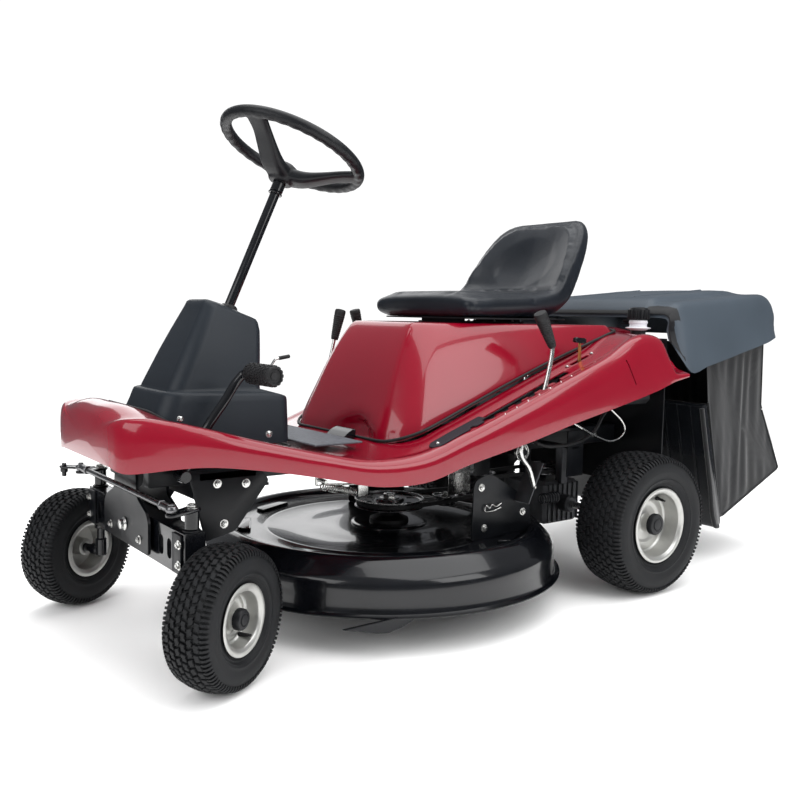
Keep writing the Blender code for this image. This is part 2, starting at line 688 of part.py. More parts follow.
def build_chute(root, mat):
    """Sloping rectangular duct from the deck's rear edge to the bag."""
    wall = 0.003
    low, high = CHUTE_X
    line = [(DECK_Y + DECK_R + 0.010, 0.150), (0.878, 0.478)]
    tall = 0.105
    outer = [line[0], line[1], (line[1][0], line[1][1] + tall), (line[0][0], line[0][1] + tall)]
    grow = 0.02
    slope = (line[1][1] - line[0][1]) / (line[1][0] - line[0][0])
    inner = [
        (line[0][0] - grow, line[0][1] - grow * slope + wall),
        (line[1][0] + grow, line[1][1] + grow * slope + wall),
        (line[1][0] + grow, line[1][1] + grow * slope + tall - wall),
        (line[0][0] - grow, line[0][1] - grow * slope + tall - wall),
    ]
    chute = piece("discharge_chute", prism_mesh(outer, "X", low, high), root, mat, smooth=False)
    boolean(chute, helper("chute_bore", prism_mesh(inner, "X", low + wall, high - wall), root), "DIFFERENCE")

    sheet = box_mesh((-0.275, 0.800, 0.235), (0.275, 0.804, 0.662))
    plate = piece("rear_plate", sheet, root, mat, smooth=False)
    slot_low = line[0][1] + slope * (0.800 - line[0][0]) - 0.006
    slot = box_mesh((low - 0.004, 0.78, slot_low), (high + 0.004, 0.82, slot_low + tall + 0.014))
    boolean(plate, helper("rear_plate_slot", slot, root), "DIFFERENCE")


# ---- cutting deck -------------------------------------------------------------------
def build_deck(deck, spin):
    paint = finish("deck_paint", BLACK, 0.15, 0.1)
    steel = finish("blade_steel", (0.30, 0.30, 0.31), 0.4, 1.0)
    wall = SHEET
    outer = [
        (DECK_R + DECK_LIP, DECK_LOW), (DECK_R + 0.004, DECK_LOW + 0.003), (DECK_R, DECK_LOW + 0.012),
        (DECK_R, DECK_SHOULDER - 0.012), (DECK_R - 0.010, DECK_SHOULDER),
        (DECK_R - 0.045, DECK_TOP), (DECK_R - 0.060, DECK_TOP - 0.002), (DECK_R - 0.070, DECK_TOP - 0.022),
        (0.060, DECK_TOP - 0.022),
    ]
    inner = [
        (0.060, DECK_TOP - 0.022 - wall), (DECK_R - 0.0665, DECK_TOP - 0.022 - wall),
        (DECK_R - 0.0570, DECK_TOP - 0.0015 - wall), (DECK_R - 0.0465, DECK_TOP - wall),
        (DECK_R - 0.010 - wall, DECK_SHOULDER - wall), (DECK_R - wall, DECK_SHOULDER - 0.014),
        (DECK_R - wall, DECK_LOW + 0.008), (DECK_R + 0.002, DECK_LOW - 0.001),
        (DECK_R + DECK_LIP, DECK_LOW - 0.003),
    ]
    shell = lathe_mesh(outer + inner, 40)
    bmesh.ops.translate(shell, vec=(0, DECK_Y, 0), verts=shell.verts)
    deck_shell = piece("deck_shell", shell, deck, paint)
    outlet = box_mesh((CHUTE_X[0] + 0.006, DECK_Y + 0.335 * DECK_SCALE, DECK_LOW + 0.045),
                      (CHUTE_X[1] - 0.006, 0.60, DECK_TOP + 0.02))
    boolean(deck_shell, helper("deck_outlet", outlet, deck), "DIFFERENCE")
    level = DECK_TOP - 0.0235
    plate = disc_mesh(0.092, level - 0.002, level + 0.005, 24)
    bmesh.ops.translate(plate, vec=(0, SPINDLE_Y, 0), verts=plate.verts)
    boolean(deck_shell, helper("deck_plate", plate, deck), "UNION")
    bracket = [(0.100, 0.1765), (0.300, 0.1765), (0.290, 0.245), (0.240, 0.290), (0.150, 0.335),
               (0.105, 0.325)]
    bracket = [(DECK_Y + DECK_SCALE * (along - DECK_Y), up) for along, up in bracket]
    for side in (1, -1):
        inner_x, outer_x = sorted((side * 0.262 * DECK_SCALE, side * 0.266 * DECK_SCALE))
        flank = prism_mesh(bracket, "X", inner_x, outer_x)
        boolean(deck_shell, helper(f"deck_bracket_{side}", flank, deck), "UNION")
    runner = [(-0.345, 0.0840), (-0.150, 0.0840), (-0.180, 0.0700), (-0.235, 0.0580)]
    runner = [(DECK_Y + DECK_SCALE * (along - DECK_Y), up) for along, up in runner]
    skid = prism_mesh(runner, "X", 0.388 * DECK_SCALE, 0.392 * DECK_SCALE)
    boolean(deck_shell, helper("deck_skid", skid, deck), "UNION")
    bore = disc_mesh(0.0185, 0.1, 0.3, 20)
    bmesh.ops.translate(bore, vec=(0, SPINDLE_Y, 0), verts=bore.verts)
    boolean(deck_shell, helper("deck_bore", bore, deck), "DIFFERENCE")

    iron = finish("housing_iron", (0.03, 0.03, 0.032), 0.5, 0.3)
    seat = DECK_TOP - 0.0235 + 0.005 + GAP
    hollow = SPINDLE_R + 0.0008
    profile = [(hollow, 0.132), (0.018, 0.132), (0.018, seat), (0.052, seat), (0.050, seat + 0.010),
               (0.026, seat + 0.018), (0.024, PULLEY_Z - 0.0125), (hollow, PULLEY_Z - 0.0125)]
    housing = lathe_mesh(profile, 24)
    bmesh.ops.translate(housing, vec=(0, SPINDLE_Y, 0), verts=housing.verts)
    piece("spindle_housing", housing, deck, iron)

    shaft = disc_mesh(SPINDLE_R, BLADE_Z - 0.012, PULLEY_Z + 0.020, 20)
    bmesh.ops.translate(shaft, vec=(0, SPINDLE_Y, 0), verts=shaft.verts)
    piece("blade_spindle", shaft, spin, steel)
    half = BLADE_LENGTH / 2
    outline = [(-half, -0.026), (-half + 0.13, -0.030), (half - 0.13, -0.030), (half, -0.018),
               (half, 0.026), (half - 0.13, 0.030), (-half + 0.13, 0.030), (-half, 0.018)]
    blade_bm = prism_mesh([(x, y + SPINDLE_Y) for x, y in outline], "Z", BLADE_Z, BLADE_Z + 0.004)
    blade = piece("mower_blade", blade_bm, spin, steel, smooth=False)
    hole = disc_mesh(SPINDLE_R + 0.0008, BLADE_Z - 0.02, BLADE_Z + 0.02, 20)
    bmesh.ops.translate(hole, vec=(0, SPINDLE_Y, 0), verts=hole.verts)
    boolean(blade, helper("blade_hole", hole, spin), "DIFFERENCE")
    idler = pulley_mesh(IDLER_R, (PULLEY_Z,), PULLEY_Z - 0.016, PULLEY_Z + 0.010, 0.006, *IDLER_PLACE)
    piece("idler_pulley", idler, deck, steel)
    coil = []
    turns, radius = 6, 0.012
    foot, pull = 0.14071 + 0.28 * REAR_Y, 0.058 * DECK_SCALE
    for k in range(turns * 8 + 1):
        a = math.tau * k / 8
        along = foot + pull * k / (turns * 8)
        coil.append((0.285 + radius * math.cos(a), along, 0.262 + radius * math.sin(a)))
    tube("lift_spring", coil, 0.0022, deck.parent, iron, 0)


# ---- body ---------------------------------------------------------------------------
def tub_section(y, half, low, ridge, crown):
    """One cross-section from the left lower edge over the top to the right one."""
    middle = (low + ridge) / 2
    flank = half - 0.060
    shelf = ridge + 0.25 * (crown - ridge)
    side = [
        (half - 0.001, low), (half, middle), (half - 0.002, ridge - 0.2 * (ridge - low)),
        (half - 0.010, ridge), (half - 0.030, ridge + 0.004), (half - 0.048, shelf),
        (flank, shelf + 0.3 * (crown - shelf)), (0.62 * flank, crown - 0.1 * (crown - shelf)),
    ]
    left = [(x, y, z) for x, z in side]
    right = [(-x, y, z) for x, z in reversed(side)]
    return left + [(0.0, y, crown)] + right


def build_tub(root, mat):
    bm = bmesh.new()
    rows = [[bm.verts.new(p) for p in tub_section(*station)] for station in TUB_STATIONS]
    for a, b in zip(rows, rows[1:]):
        for k in range(len(a) - 1):
            bm.faces.new((a[k], a[k + 1], b[k + 1], b[k]))
    bm.faces.new(rows[0])
    bm.faces.new(rows[-1][::-1])
    tub = thicken(piece("body_tub", bm, root, mat), SHEET)
    hood_hole = round_box(HOOD_HALF + HOOD_GAP, HOOD_FRONT - HOOD_GAP, HOOD_REAR + HOOD_GAP, 0.094, 0.034)
    console_hole = round_box(0.128, -0.649, -0.308, 0.044, 0.032)
    holes = {
        "hood_opening": prism_mesh(hood_hole, "Z", 0.36, 0.80),
        "console_opening": prism_mesh(console_hole, "Z", 0.36, 0.80),
        "pedal_slot": box_mesh((0.152, -0.610, 0.40), (0.188, -0.425, 0.60)),
        "gate_slot": box_mesh((0.299, 0.020, 0.40), (0.321, 0.372, 0.70)),
        "throttle_slot": box_mesh((0.284, 0.396, 0.52), (0.296, 0.462, 0.72)),
        "shift_slot": box_mesh((-0.2705, -0.060, 0.36), (-0.2535, 0.070, 0.60)),
        "clutch_slot": box_mesh((-0.290, 0.100, 0.40), (-0.268, 0.265, 0.70)),
        "filler_hole": disc_mesh(0.024, 0.60, 0.75, 20),
    }
    filler = holes["filler_hole"]
    bmesh.ops.translate(filler, vec=(*FUEL_CAP_PLACE, 0), verts=filler.verts)
    cutters = bmesh.new()
    for cutter in holes.values():
        block = bpy.data.meshes.new("opening")
        bmesh.ops.recalc_face_normals(cutter, faces=cutter.faces)
        cutter.to_mesh(block)
        cutter.free()
        cutters.from_mesh(block)
    boolean(tub, helper("tub_openings", cutters, root), "DIFFERENCE")


def build_hood(hinge, mat):
    """A lofted hump: its base lies on the sloping body top, its crown is level."""
    base = round_box(HOOD_HALF, HOOD_FRONT, HOOD_REAR, 0.090, 0.030)
    top = round_box(0.5, 0.020, 0.600, 0.060, 0.030)
    rings = []
    levels = [(0.0, 0.0), (0.18, 0.10), (0.55, 0.42), (0.82, 0.72), (0.94, 0.90), (1.0, 1.0)]
    sink = 0.006
    for rise, inset in levels:
        ring = []
        for (bx, by), (tx, ty) in zip(base, top):
            t = max(0.0, min(1.0, (ty - 0.020) / 0.580))
            wide = 0.135 + 0.100 * t ** 0.7
            tx = tx / 0.5 * wide
            x = bx + (tx - bx) * inset
            y = by + (ty - by) * inset
            low = deck_plane(by) - sink
            ring.append((x, y, low + (HOOD_TOP - low) * rise))
        rings.append(ring)
    return thicken(piece("hood", loft_mesh(rings, cap_top=True), hinge, mat), SHEET)


def build_console(root, mat):
    """Footwell console: a broad base with a ledge and a tapering tower that leans back."""
    levels = [
        (0.4300, 0.124, -0.645, -0.312, 0.040), (0.5240, 0.116, -0.606, -0.312, 0.040),
        (0.5480, 0.112, -0.598, -0.316, 0.038), (0.5520, 0.100, -0.584, -0.372, 0.034),
        (0.6300, 0.088, -0.545, -0.366, 0.032), (0.7050, 0.072, -0.505, -0.360, 0.028),
        (0.7400, 0.060, -0.488, -0.366, 0.024),
    ]
    rings = []
    for z, half, front, rear, corner in levels:
        slope = 0.04 if z > 0.6 else 0.0
        outline = round_box(half, front, rear, corner, corner * 0.7)
        fall = slope * (z - 0.55) / 0.19 / (rear - front)
        rings.append([(x, y, z - fall * (y - front)) for x, y in outline])
    tilt = math.tan(COLUMN_TILT)
    top_z = CONSOLE_TOP - 0.018
    hole_y = WHEEL_CENTRE[1] - (WHEEL_CENTRE[2] - top_z) * tilt
    hole = [
        (0.016 * math.cos(a), hole_y + 0.018 * math.sin(a), top_z - 0.3 * 0.018 * math.sin(a))
        for a in (math.atan2(y - hole_y, x) for x, y, _ in rings[-1])
    ]
    rings.append(hole)
    thicken(piece("console_cover", loft_mesh(rings), root, mat), SHEET)


def build_body(root, hinge, seat):
    red = finish("body_red", RED, 0.12)
    plastic = finish("console_plastic", PLASTIC, 0.55)
    build_tub(root, red)
    build_hood(hinge, red)
    build_console(root, plastic)
    mat_finish = finish("mat_rubber", (0.32, 0.34, 0.36), 0.7)
    level = 0.4270
    patch = box_mesh((-0.200, -0.300, level), (0.200, -0.175, level + 0.004), 0.001)
    piece("footwell_mat", patch, root, mat_finish, smooth=False)
    latch = finish("latch_plastic", BLACK, 0.5)
    outline = [(-0.165, 0.4192), (-0.124, 0.4230), (-0.124, 0.4400), (-0.150, 0.4330)]
    piece("hood_latch", prism_mesh(outline, "X", 0.020, 0.100), root, latch, smooth=False)

    iron = finish("bracket_paint", BLACK, 0.4, 0.3)
    low = HOOD_TOP + GAP
    bracket = piece("seat_bracket", box_mesh((-0.085, 0.200, low), (0.085, 0.430, low + 0.004)), hinge, iron,
                    smooth=False)
    for k, y in enumerate((0.215, 0.410)):
        rib = box_mesh((-0.080, y - 0.008, low + 0.003), (0.080, y + 0.008, SEAT_LOW - GAP))
        boolean(bracket, helper(f"seat_rib_{k}", rib, hinge), "UNION")

    vinyl = finish("seat_vinyl", VINYL, 0.4)
    rear = SEAT_BACK_Y
    top_y, top_z = BACK_TOP
    profile = [
        (SEAT_FRONT, SEAT_LOW), (rear + 0.012, SEAT_LOW + 0.002), (rear + 0.080, SEAT_LOW + 0.016),
        (rear + 0.128, SEAT_LOW + 0.090), (top_y + 0.012, top_z - 0.030), (top_y, top_z),
        (top_y - 0.040, top_z - 0.012),
        (rear + 0.022, SEAT_LOW + 0.150), (rear - 0.010, SEAT_LOW + SEAT_THICK + 0.014),
        (rear - 0.120, SEAT_LOW + SEAT_THICK), (SEAT_FRONT + 0.040, SEAT_LOW + SEAT_THICK),
        (SEAT_FRONT + 0.004, SEAT_LOW + SEAT_THICK - 0.012),
    ]
    cushion = piece("seat", prism_mesh(profile, "X", -SEAT_HALF, SEAT_HALF), seat, vinyl, smooth=False)
    for side in (1, -1):
        wedge = [(side * 0.215, 0.800), (side * 0.215, 1.02), (side * 0.110, 1.02), (side * 0.160, 0.975)]
        cut = prism_mesh(wedge, "Y", 0.40, 0.75)
        boolean(cushion, helper(f"back_corner_{side}", cut, seat), "DIFFERENCE")


# ---- controls -----------------------------------------------------------------------
def grip_mesh(start, end, thin, thick):
    """A tapered grip, thicker towards its free end."""
    a, b = Vector(start), Vector(end)
    length = (b - a).length
    profile = [(0, 0), (thin, 0), (thick, length * 0.85), (thick * 0.9, length), (0, length)]
    bm = lathe_mesh(profile, 14, closed=False)
    turn = (b - a).to_track_quat("Z", "Y").to_matrix().to_4x4()
    bmesh.ops.transform(bm, matrix=Matrix.Translation(a) @ turn, verts=bm.verts)
    return bm


def build_steering(column):
    black = finish("wheel_plastic", BLACK, 0.45)
    paint = finish("column_paint", BLACK, 0.25, 0.3)
    x, y, z = WHEEL_CENTRE
    hub = z - WHEEL_DISH
    rim = lathe_mesh(
        [(WHEEL_RIM_R + r, h) for r, h in circle(0, 0, WHEEL_TUBE_R, 8)], 32, "Z", WHEEL_CENTRE
    )
    wheel = piece("steering_wheel", rim, column, black)
    boss = disc_mesh(0.034, -0.020, 0.022, 16, "Z", (x, y, hub))
    boolean(wheel, helper("wheel_boss", boss, column), "UNION")
    for k, degrees in enumerate((-64.0, 55.0)):
        a = math.radians(degrees)
        reach = WHEEL_RIM_R - 0.003
        section = [(0.005, -0.018), (0.090, 0.018), (reach, WHEEL_DISH - 0.010), (reach, WHEEL_DISH + 0.006),
                   (0.085, 0.044), (0.005, 0.016)]
        spoke = prism_mesh([(r, h) for r, h in section], "Y", -0.024, 0.024)
        turn = Matrix.Translation((x, y, hub)) @ Matrix.Rotation(a, 4, "Z")
        bmesh.ops.transform(spoke, matrix=turn, verts=spoke.verts)
        boolean(wheel, helper(f"wheel_spoke_{k}", spoke, column), "UNION")
    bore = disc_mesh(COLUMN_R + 0.0008, -0.10, 0.006, 20, "Z", (x, y, hub))
    boolean(wheel, helper("wheel_bore", bore, column), "DIFFERENCE")
    foot_y = FRONT_Y + BEAM_DEPTH / 2 + COLUMN_FOOT
    length = (y - foot_y) / math.sin(COLUMN_TILT) - WHEEL_DISH
    shaft = disc_mesh(COLUMN_R, -length, 0.004, 16, "Z", (x, y, hub))
    piece("steering_shaft", shaft, column, paint)


def build_controls(root, pivots):
    rubber = finish("grip_rubber", RUBBER, 0.6)
    rod = finish("rod_zinc", (0.35, 0.35, 0.34), 0.35, 0.9)
    black = finish("control_black", BLACK, 0.4)

    bends = [(0.261, 0.655), (0.270, 0.640), (0.299, 0.578), (0.262, 0.480), (0.212, 0.392), (0.216, 0.380),
             (0.240, 0.352), (0.262, 0.300)]
    lever_path = [(LEVER_X, along, up) for along, up in bends]
    lever = piece("height_lever", swept_mesh(lever_path, LEVER_R), pivots["height"], rod)
    plate = prism_mesh([(0.238, 0.262), (0.268, 0.252), (0.314, 0.338), (0.284, 0.360)], "X",
                       LEVER_X - 0.042, LEVER_X + 0.008)
    boolean(lever, helper("lift_bracket", plate, pivots["height"]), "UNION")
    height_grip = grip_mesh((LEVER_X, 0.2605, 0.6600), (LEVER_X, 0.252, 0.728), 0.011, 0.016)
    piece("height_grip", height_grip, pivots["height"], rubber)

    slope = math.atan2(GATE_REAR[1] - GATE_FRONT[1], GATE_REAR[0] - GATE_FRONT[0])
    build_gate(root, slope, black)

    x, y, z = THROTTLE_PLACE
    outline = [(y - 0.006, z - 0.020), (y + 0.006, z - 0.020), (y + 0.003, z + 0.056), (y - 0.006, z + 0.056)]
    blade = prism_mesh(outline, "X", x - 0.0012, x + 0.0012)
    brass = finish("brass", (0.55, 0.36, 0.12), 0.35, 1.0)
    throttle = piece("throttle_lever", blade, pivots["throttle"], brass, smooth=False)
    knob = box_mesh((x - 0.005, y - 0.020, z + 0.052), (x + 0.005, y + 0.016, z + 0.064), 0.003)
    boolean(throttle, helper("throttle_knob", knob, pivots["throttle"]), "UNION")

    for name, low, high in (
        ("shift", SHIFT_PIVOT, (-0.262, 0.063, 0.726)),
        ("clutch", CLUTCH_PIVOT, (-0.280, 0.121, 0.727)),
    ):
        foot, head = Vector(low), Vector(high)
        joint = foot.lerp(head, 0.78)
        stick = piece(name + "_lever", bar_mesh(foot, joint.lerp(head, 0.1), 0.0045, 12), pivots[name], rod)
        boolean(stick, helper(name + "_grip", grip_mesh(joint, head, 0.010, 0.015), pivots[name]), "UNION")

    pad_x = (0.182, 0.302)
    px, py, pz = PEDAL_PIVOT
    path = smooth_path([(px, py, pz), (px, -0.539, 0.479), (px, -0.498, 0.534), (px, -0.466, 0.580),
                        (px + 0.006, -0.458, 0.589), (px + 0.030, -0.456, 0.591)], 3)
    tube("pedal_arm", path, PEDAL_TUBE_R, pivots["pedal"], black, 2)
    pad = disc_mesh(PAD_R, px + 0.0315, pad_x[1], 20, "X", (0, -0.456, 0.591))
    piece("pedal_pad", pad, pivots["pedal"], rubber)

    wire = [(0.0, -0.335, 0.5600), (0.0, -0.312, 0.578), (0.0, -0.296, 0.596), (0.0, -0.288, 0.606),
            (0.0, -0.258, 0.612)]
    tube("brake_latch", wire, 0.0035, pivots["latch"], rod, 2)
    cap_z = 0.7136
    profile = [(0, cap_z), (0.030, cap_z), (0.031, cap_z + 0.028), (0.027, cap_z + 0.034), (0, cap_z + 0.034)]
    cap = lathe_mesh(profile, 20, closed=False)
    bmesh.ops.translate(cap, vec=(*FUEL_CAP_PLACE, 0), verts=cap.verts)
    piece("fuel_cap", cap, pivots["cap"], black)


def build_gate(root, slope, mat):
    """Notched quadrant plate beside the hood, lying on the body's shoulder."""
    length = math.hypot(GATE_REAR[0] - GATE_FRONT[0], GATE_REAR[1] - GATE_FRONT[1])
    wide = 0.017
    thick = 0.003
    outline = hull(circle(0, 0.012, 0.013, 16)
                   + [(-wide, length), (wide, length), (-wide, 0.17), (wide, 0.17)])
    gate = piece("height_gate", prism_mesh(outline, "Z", 0.0, thick), root, mat, smooth=False)
    place = Matrix.Translation((LEVER_X, GATE_FRONT[0], GATE_FRONT[1] + 0.019))
    turn = place @ Matrix.Rotation(slope, 4, "X")
    gate.data.transform(turn)
    slot = box_mesh((-0.0095, 0.105, -0.02), (0.0095, length - 0.012, 0.02))
    slot.transform(turn)
    boolean(gate, helper("gate_opening", slot, root), "DIFFERENCE")


# ---- bag ----------------------------------------------------------------------------
def build_bag(bag):
    grey = finish("lid_plastic", LID_GREY, 0.5)
    fabric = finish("bag_fabric_weave", FABRIC, 0.85)
    black = finish("bag_frame_plastic", BLACK, 0.4)
    stations = [
        # y, top height, skirt low, top half, raised
        (0.784, 0.730, 0.648, 0.280, 0.000), (0.800, 0.748, 0.610, 0.288, 0.006),
        (0.825, 0.762, 0.572, 0.292, 0.012), (1.000, 0.780, 0.608, 0.292, 0.014),
        (1.180, 0.796, 0.645, 0.290, 0.014), (1.262, 0.798, 0.662, 0.284, 0.000),
        (1.290, 0.770, 0.668, 0.290, 0.000),
    ]
    bm = bmesh.new()
    rows = []
    for y, top, low, half, boss in stations:
        t = (top - low) / 0.19
        flare = half + (LID_HALF - 0.292) * min(1.0, t)
        side = [
            (flare, low), (flare - 0.35 * (flare - half), low + 0.5 * (top - 0.016 - low)),
            (half + 0.008, top - 0.016), (half - 0.006, top - 0.004), (half - 0.040, top),
            (half * 0.72, top + 0.001), (half * 0.66, top + boss), (half * 0.33, top + boss * 1.25),
        ]
        ring = [(x, y, z) for x, z in side] + [(0.0, y, top + boss * 1.35)]
        ring += [(-x, y, z) for x, z in reversed(side)]
        rows.append([bm.verts.new(p) for p in ring])
    for a, b in zip(rows, rows[1:]):
        for k in range(len(a) - 1):
            bm.faces.new((a[k], a[k + 1], b[k + 1], b[k]))
    bm.faces.new(rows[-1][::-1])
    thicken(piece("bag_lid", bm, bag, grey), SHEET)

    outline = [(0.930, 0.585), (1.048, 0.132), (1.352, 0.252), (1.240, 0.447), (1.228, 0.628)]
    sack = piece("bag_fabric", prism_mesh(outline, "X", -BAG_HALF, BAG_HALF), bag, fabric, smooth=False)
    wall = 0.004
    cavity = [(0.880, 0.800), (0.800, 0.800), (0.800, 0.4805), (0.964, 0.4805), (1.0515, 0.1385),
              (1.345, 0.2535), (1.236, 0.446), (1.224, 0.800)]
    hollow = prism_mesh(cavity, "X", -BAG_HALF + wall, BAG_HALF - wall)
    boolean(sack, helper("bag_cavity", hollow, bag), "DIFFERENCE")
    sheet = [(0.948, 0.474), (0.936, 0.474), (0.926, 0.466), (1.018, 0.108), (1.036, 0.100),
             (1.0440, 0.112), (1.0440, 0.1300)]
    piece("bag_front_frame", prism_mesh(sheet, "X", -PANEL_HALF, PANEL_HALF), bag, black, smooth=False)


def main():
    clear_scene()
    root = empty("machine_datum", (0.0, MID_Y, 0.0))
    axle = empty("axle_pivot", (0.0, FRONT_Y, PIVOT_Z), root)
    build_frame(root)
    build_front_axle(axle)
    build_running_gear(root)
    crank = empty("crank_spin", (0.0, CRANK_Y, PULLEY_Z), root)
    spin = empty("blade_spin", (0.0, SPINDLE_Y, BLADE_Z), root)
    drive = empty("drive_spin", (0.0, REAR_Y, DRIVE_Z), root)
    build_power(root, crank, spin, drive)
    deck = empty("deck_lift", (0.0, DECK_Y, DECK_LOW), root)
    build_deck(deck, spin)
    hinge = empty("hood_hinge", (0.0, HINGE_Y, HINGE_Z), root)
    seat = empty("seat_tilt", (0.0, SEAT_FRONT + 0.004, SEAT_LOW), root)
    build_body(root, hinge, seat)
    column = empty("steering_axis", WHEEL_CENTRE, root, (-COLUMN_TILT, 0.0, 0.0))
    build_steering(column)
    pivots = {
        "height": empty("height_pivot", LEVER_PIVOT, root),
        "throttle": empty("throttle_pivot", THROTTLE_PLACE, root),
        "shift": empty("shift_pivot", SHIFT_PIVOT, root),
        "clutch": empty("clutch_pivot", CLUTCH_PIVOT, root),
        "pedal": empty("pedal_pivot", PEDAL_PIVOT, root),
        "latch": empty("latch_pivot", (0.0, -0.335, 0.560), root),
        "cap": empty("cap_axis", (*FUEL_CAP_PLACE, 0.714), root),
    }
    build_controls(root, pivots)
    bag = empty("bag_hinge", BAG_HINGE, root)
    build_bag(bag)


main()
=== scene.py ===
# %% [markdown]
# # A ride-on mower, dressed piece by piece
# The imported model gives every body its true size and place. This lesson puts the real surfaces
# around it: glossy pressed steel, grained plastic, vinyl, cloth, cast and turned metal, and turf tyres.
# Each cell says what a piece is on the machine, how it could be made, and why it is made this way.

from math import atan2, copysign, cos, dist, exp, pi, radians, sin, tau

import bmesh
import bpy
from mathutils import Matrix, Vector, noise
from mathutils.bvhtree import BVHTree


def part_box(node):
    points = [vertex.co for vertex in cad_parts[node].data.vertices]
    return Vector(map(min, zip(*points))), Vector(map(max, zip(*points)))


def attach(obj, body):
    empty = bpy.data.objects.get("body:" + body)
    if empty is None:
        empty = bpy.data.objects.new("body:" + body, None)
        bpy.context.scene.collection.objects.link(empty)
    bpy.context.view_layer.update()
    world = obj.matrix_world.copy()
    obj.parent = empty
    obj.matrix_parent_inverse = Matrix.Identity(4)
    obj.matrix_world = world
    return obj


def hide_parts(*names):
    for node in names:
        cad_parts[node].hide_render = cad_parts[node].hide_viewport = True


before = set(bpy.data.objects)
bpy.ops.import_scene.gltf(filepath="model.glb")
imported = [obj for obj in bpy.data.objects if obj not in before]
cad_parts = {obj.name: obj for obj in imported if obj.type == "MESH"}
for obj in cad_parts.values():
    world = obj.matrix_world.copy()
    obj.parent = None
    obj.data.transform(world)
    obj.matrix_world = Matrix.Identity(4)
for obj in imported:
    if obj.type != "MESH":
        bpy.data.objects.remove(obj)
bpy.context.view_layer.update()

# %% [markdown]
# The machine is laid out from the middle of its wheelbase, because wheels, deck and steering are
# measured from there on a real drawing. The rear axle shaft in the frame says where that middle is,
# so every length below counts from it and one shift puts each mesh in place.

# %% Where the middle of the wheelbase lies
def middle(node):
    low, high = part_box(node)
    return (low + high) / 2


HALF_BASE = 0.61175
MID_Y = middle("axle_shaft_left").y - HALF_BASE
shift_to = Matrix.Translation
SHIFT = shift_to((0, MID_Y, 0))
print("middle of the wheelbase at y", round(MID_Y, 4))

# %% [markdown]
# The viewer stands ahead of the left front wheel, a little above the tyres, with a normal lens.
# A small roll and shift frame the machine evenly. Depth of field stays off, so every part of it is
# sharp from any side.

# %% Camera
FOCAL = 40.487            # mm on a 36 mm wide sensor
YAW, PITCH, ROLL = radians(53.534), radians(5.044), radians(1.101)
EYE = Vector((1.8491, -1.3135 + MID_Y, 0.7193))


def stand_camera():
    back = Vector((sin(YAW) * cos(PITCH), -cos(YAW) * cos(PITCH), sin(PITCH)))
    level = Vector((cos(YAW), sin(YAW), 0))
    up = back.cross(level)
    right = cos(ROLL) * level + sin(ROLL) * up
    up = back.cross(right)
    data = bpy.data.cameras.new("viewer")
    data.sensor_width, data.lens = 36.0, FOCAL
    data.shift_x, data.shift_y = 0.00967, -0.00962
    data.clip_start, data.clip_end = 0.05, 60
    ob = bpy.data.objects.new("viewer", data)
    bpy.context.scene.collection.objects.link(ob)
    ob.matrix_world = shift_to(EYE) @ Matrix((right, up, back)).transposed().to_4x4()
    bpy.context.scene.camera = ob
    return ob


print("camera", stand_camera().name, "lens", FOCAL)

# %% [markdown]
# A studio floor is one pale sheet under white light. A large disc is enough, because the world
# behind it is just as pale. Big area lights overhead and beside give the long soft reflections that
# show how lacquered steel curves; small lights would give hard sparks instead.

# %% Floor and lights
def pale_floor():
    mat = bpy.data.materials.new("studio_floor")
    mat.use_nodes = True
    shader = mat.node_tree.nodes["Principled BSDF"]
    shader.inputs["Base Color"].default_value = (0.97, 0.97, 0.97, 1)
    shader.inputs["Roughness"].default_value = 1.0
    shader.inputs["Specular IOR Level"].default_value = 0.0
    bm = bmesh.new()
    bmesh.ops.create_circle(bm, cap_ends=True, segments=96, radius=3.4)
    mesh = bpy.data.meshes.new("studio_floor")
    bm.to_mesh(mesh)
    bm.free()
    mesh.materials.append(mat)
    ob = bpy.data.objects.new("studio_floor", mesh)
    bpy.context.scene.collection.objects.link(ob)


def area_light(name, place, target, size, power):
    data = bpy.data.lights.new(name, "AREA")
    data.shape = "RECTANGLE"
    data.size, data.size_y = size
    data.energy = power
    ob = bpy.data.objects.new(name, data)
    bpy.context.scene.collection.objects.link(ob)
    ob.location = place
    ob.rotation_euler = (Vector(target) - Vector(place)).to_track_quat("-Z", "Y").to_euler()


def add_node(tree, kind, **inputs):
    made = tree.nodes.new("ShaderNode" + kind)
    for socket, value in inputs.items():
        made.inputs[socket].default_value = value
    return made


def ramp_between(tree, *stops):
    """A colour ramp with two (position, colour) stops."""
    ramp = add_node(tree, "ValToRGB")
    for element, (position, colour) in zip(ramp.color_ramp.elements, stops):
        element.position, element.color = position, (*colour, 1)
    return ramp


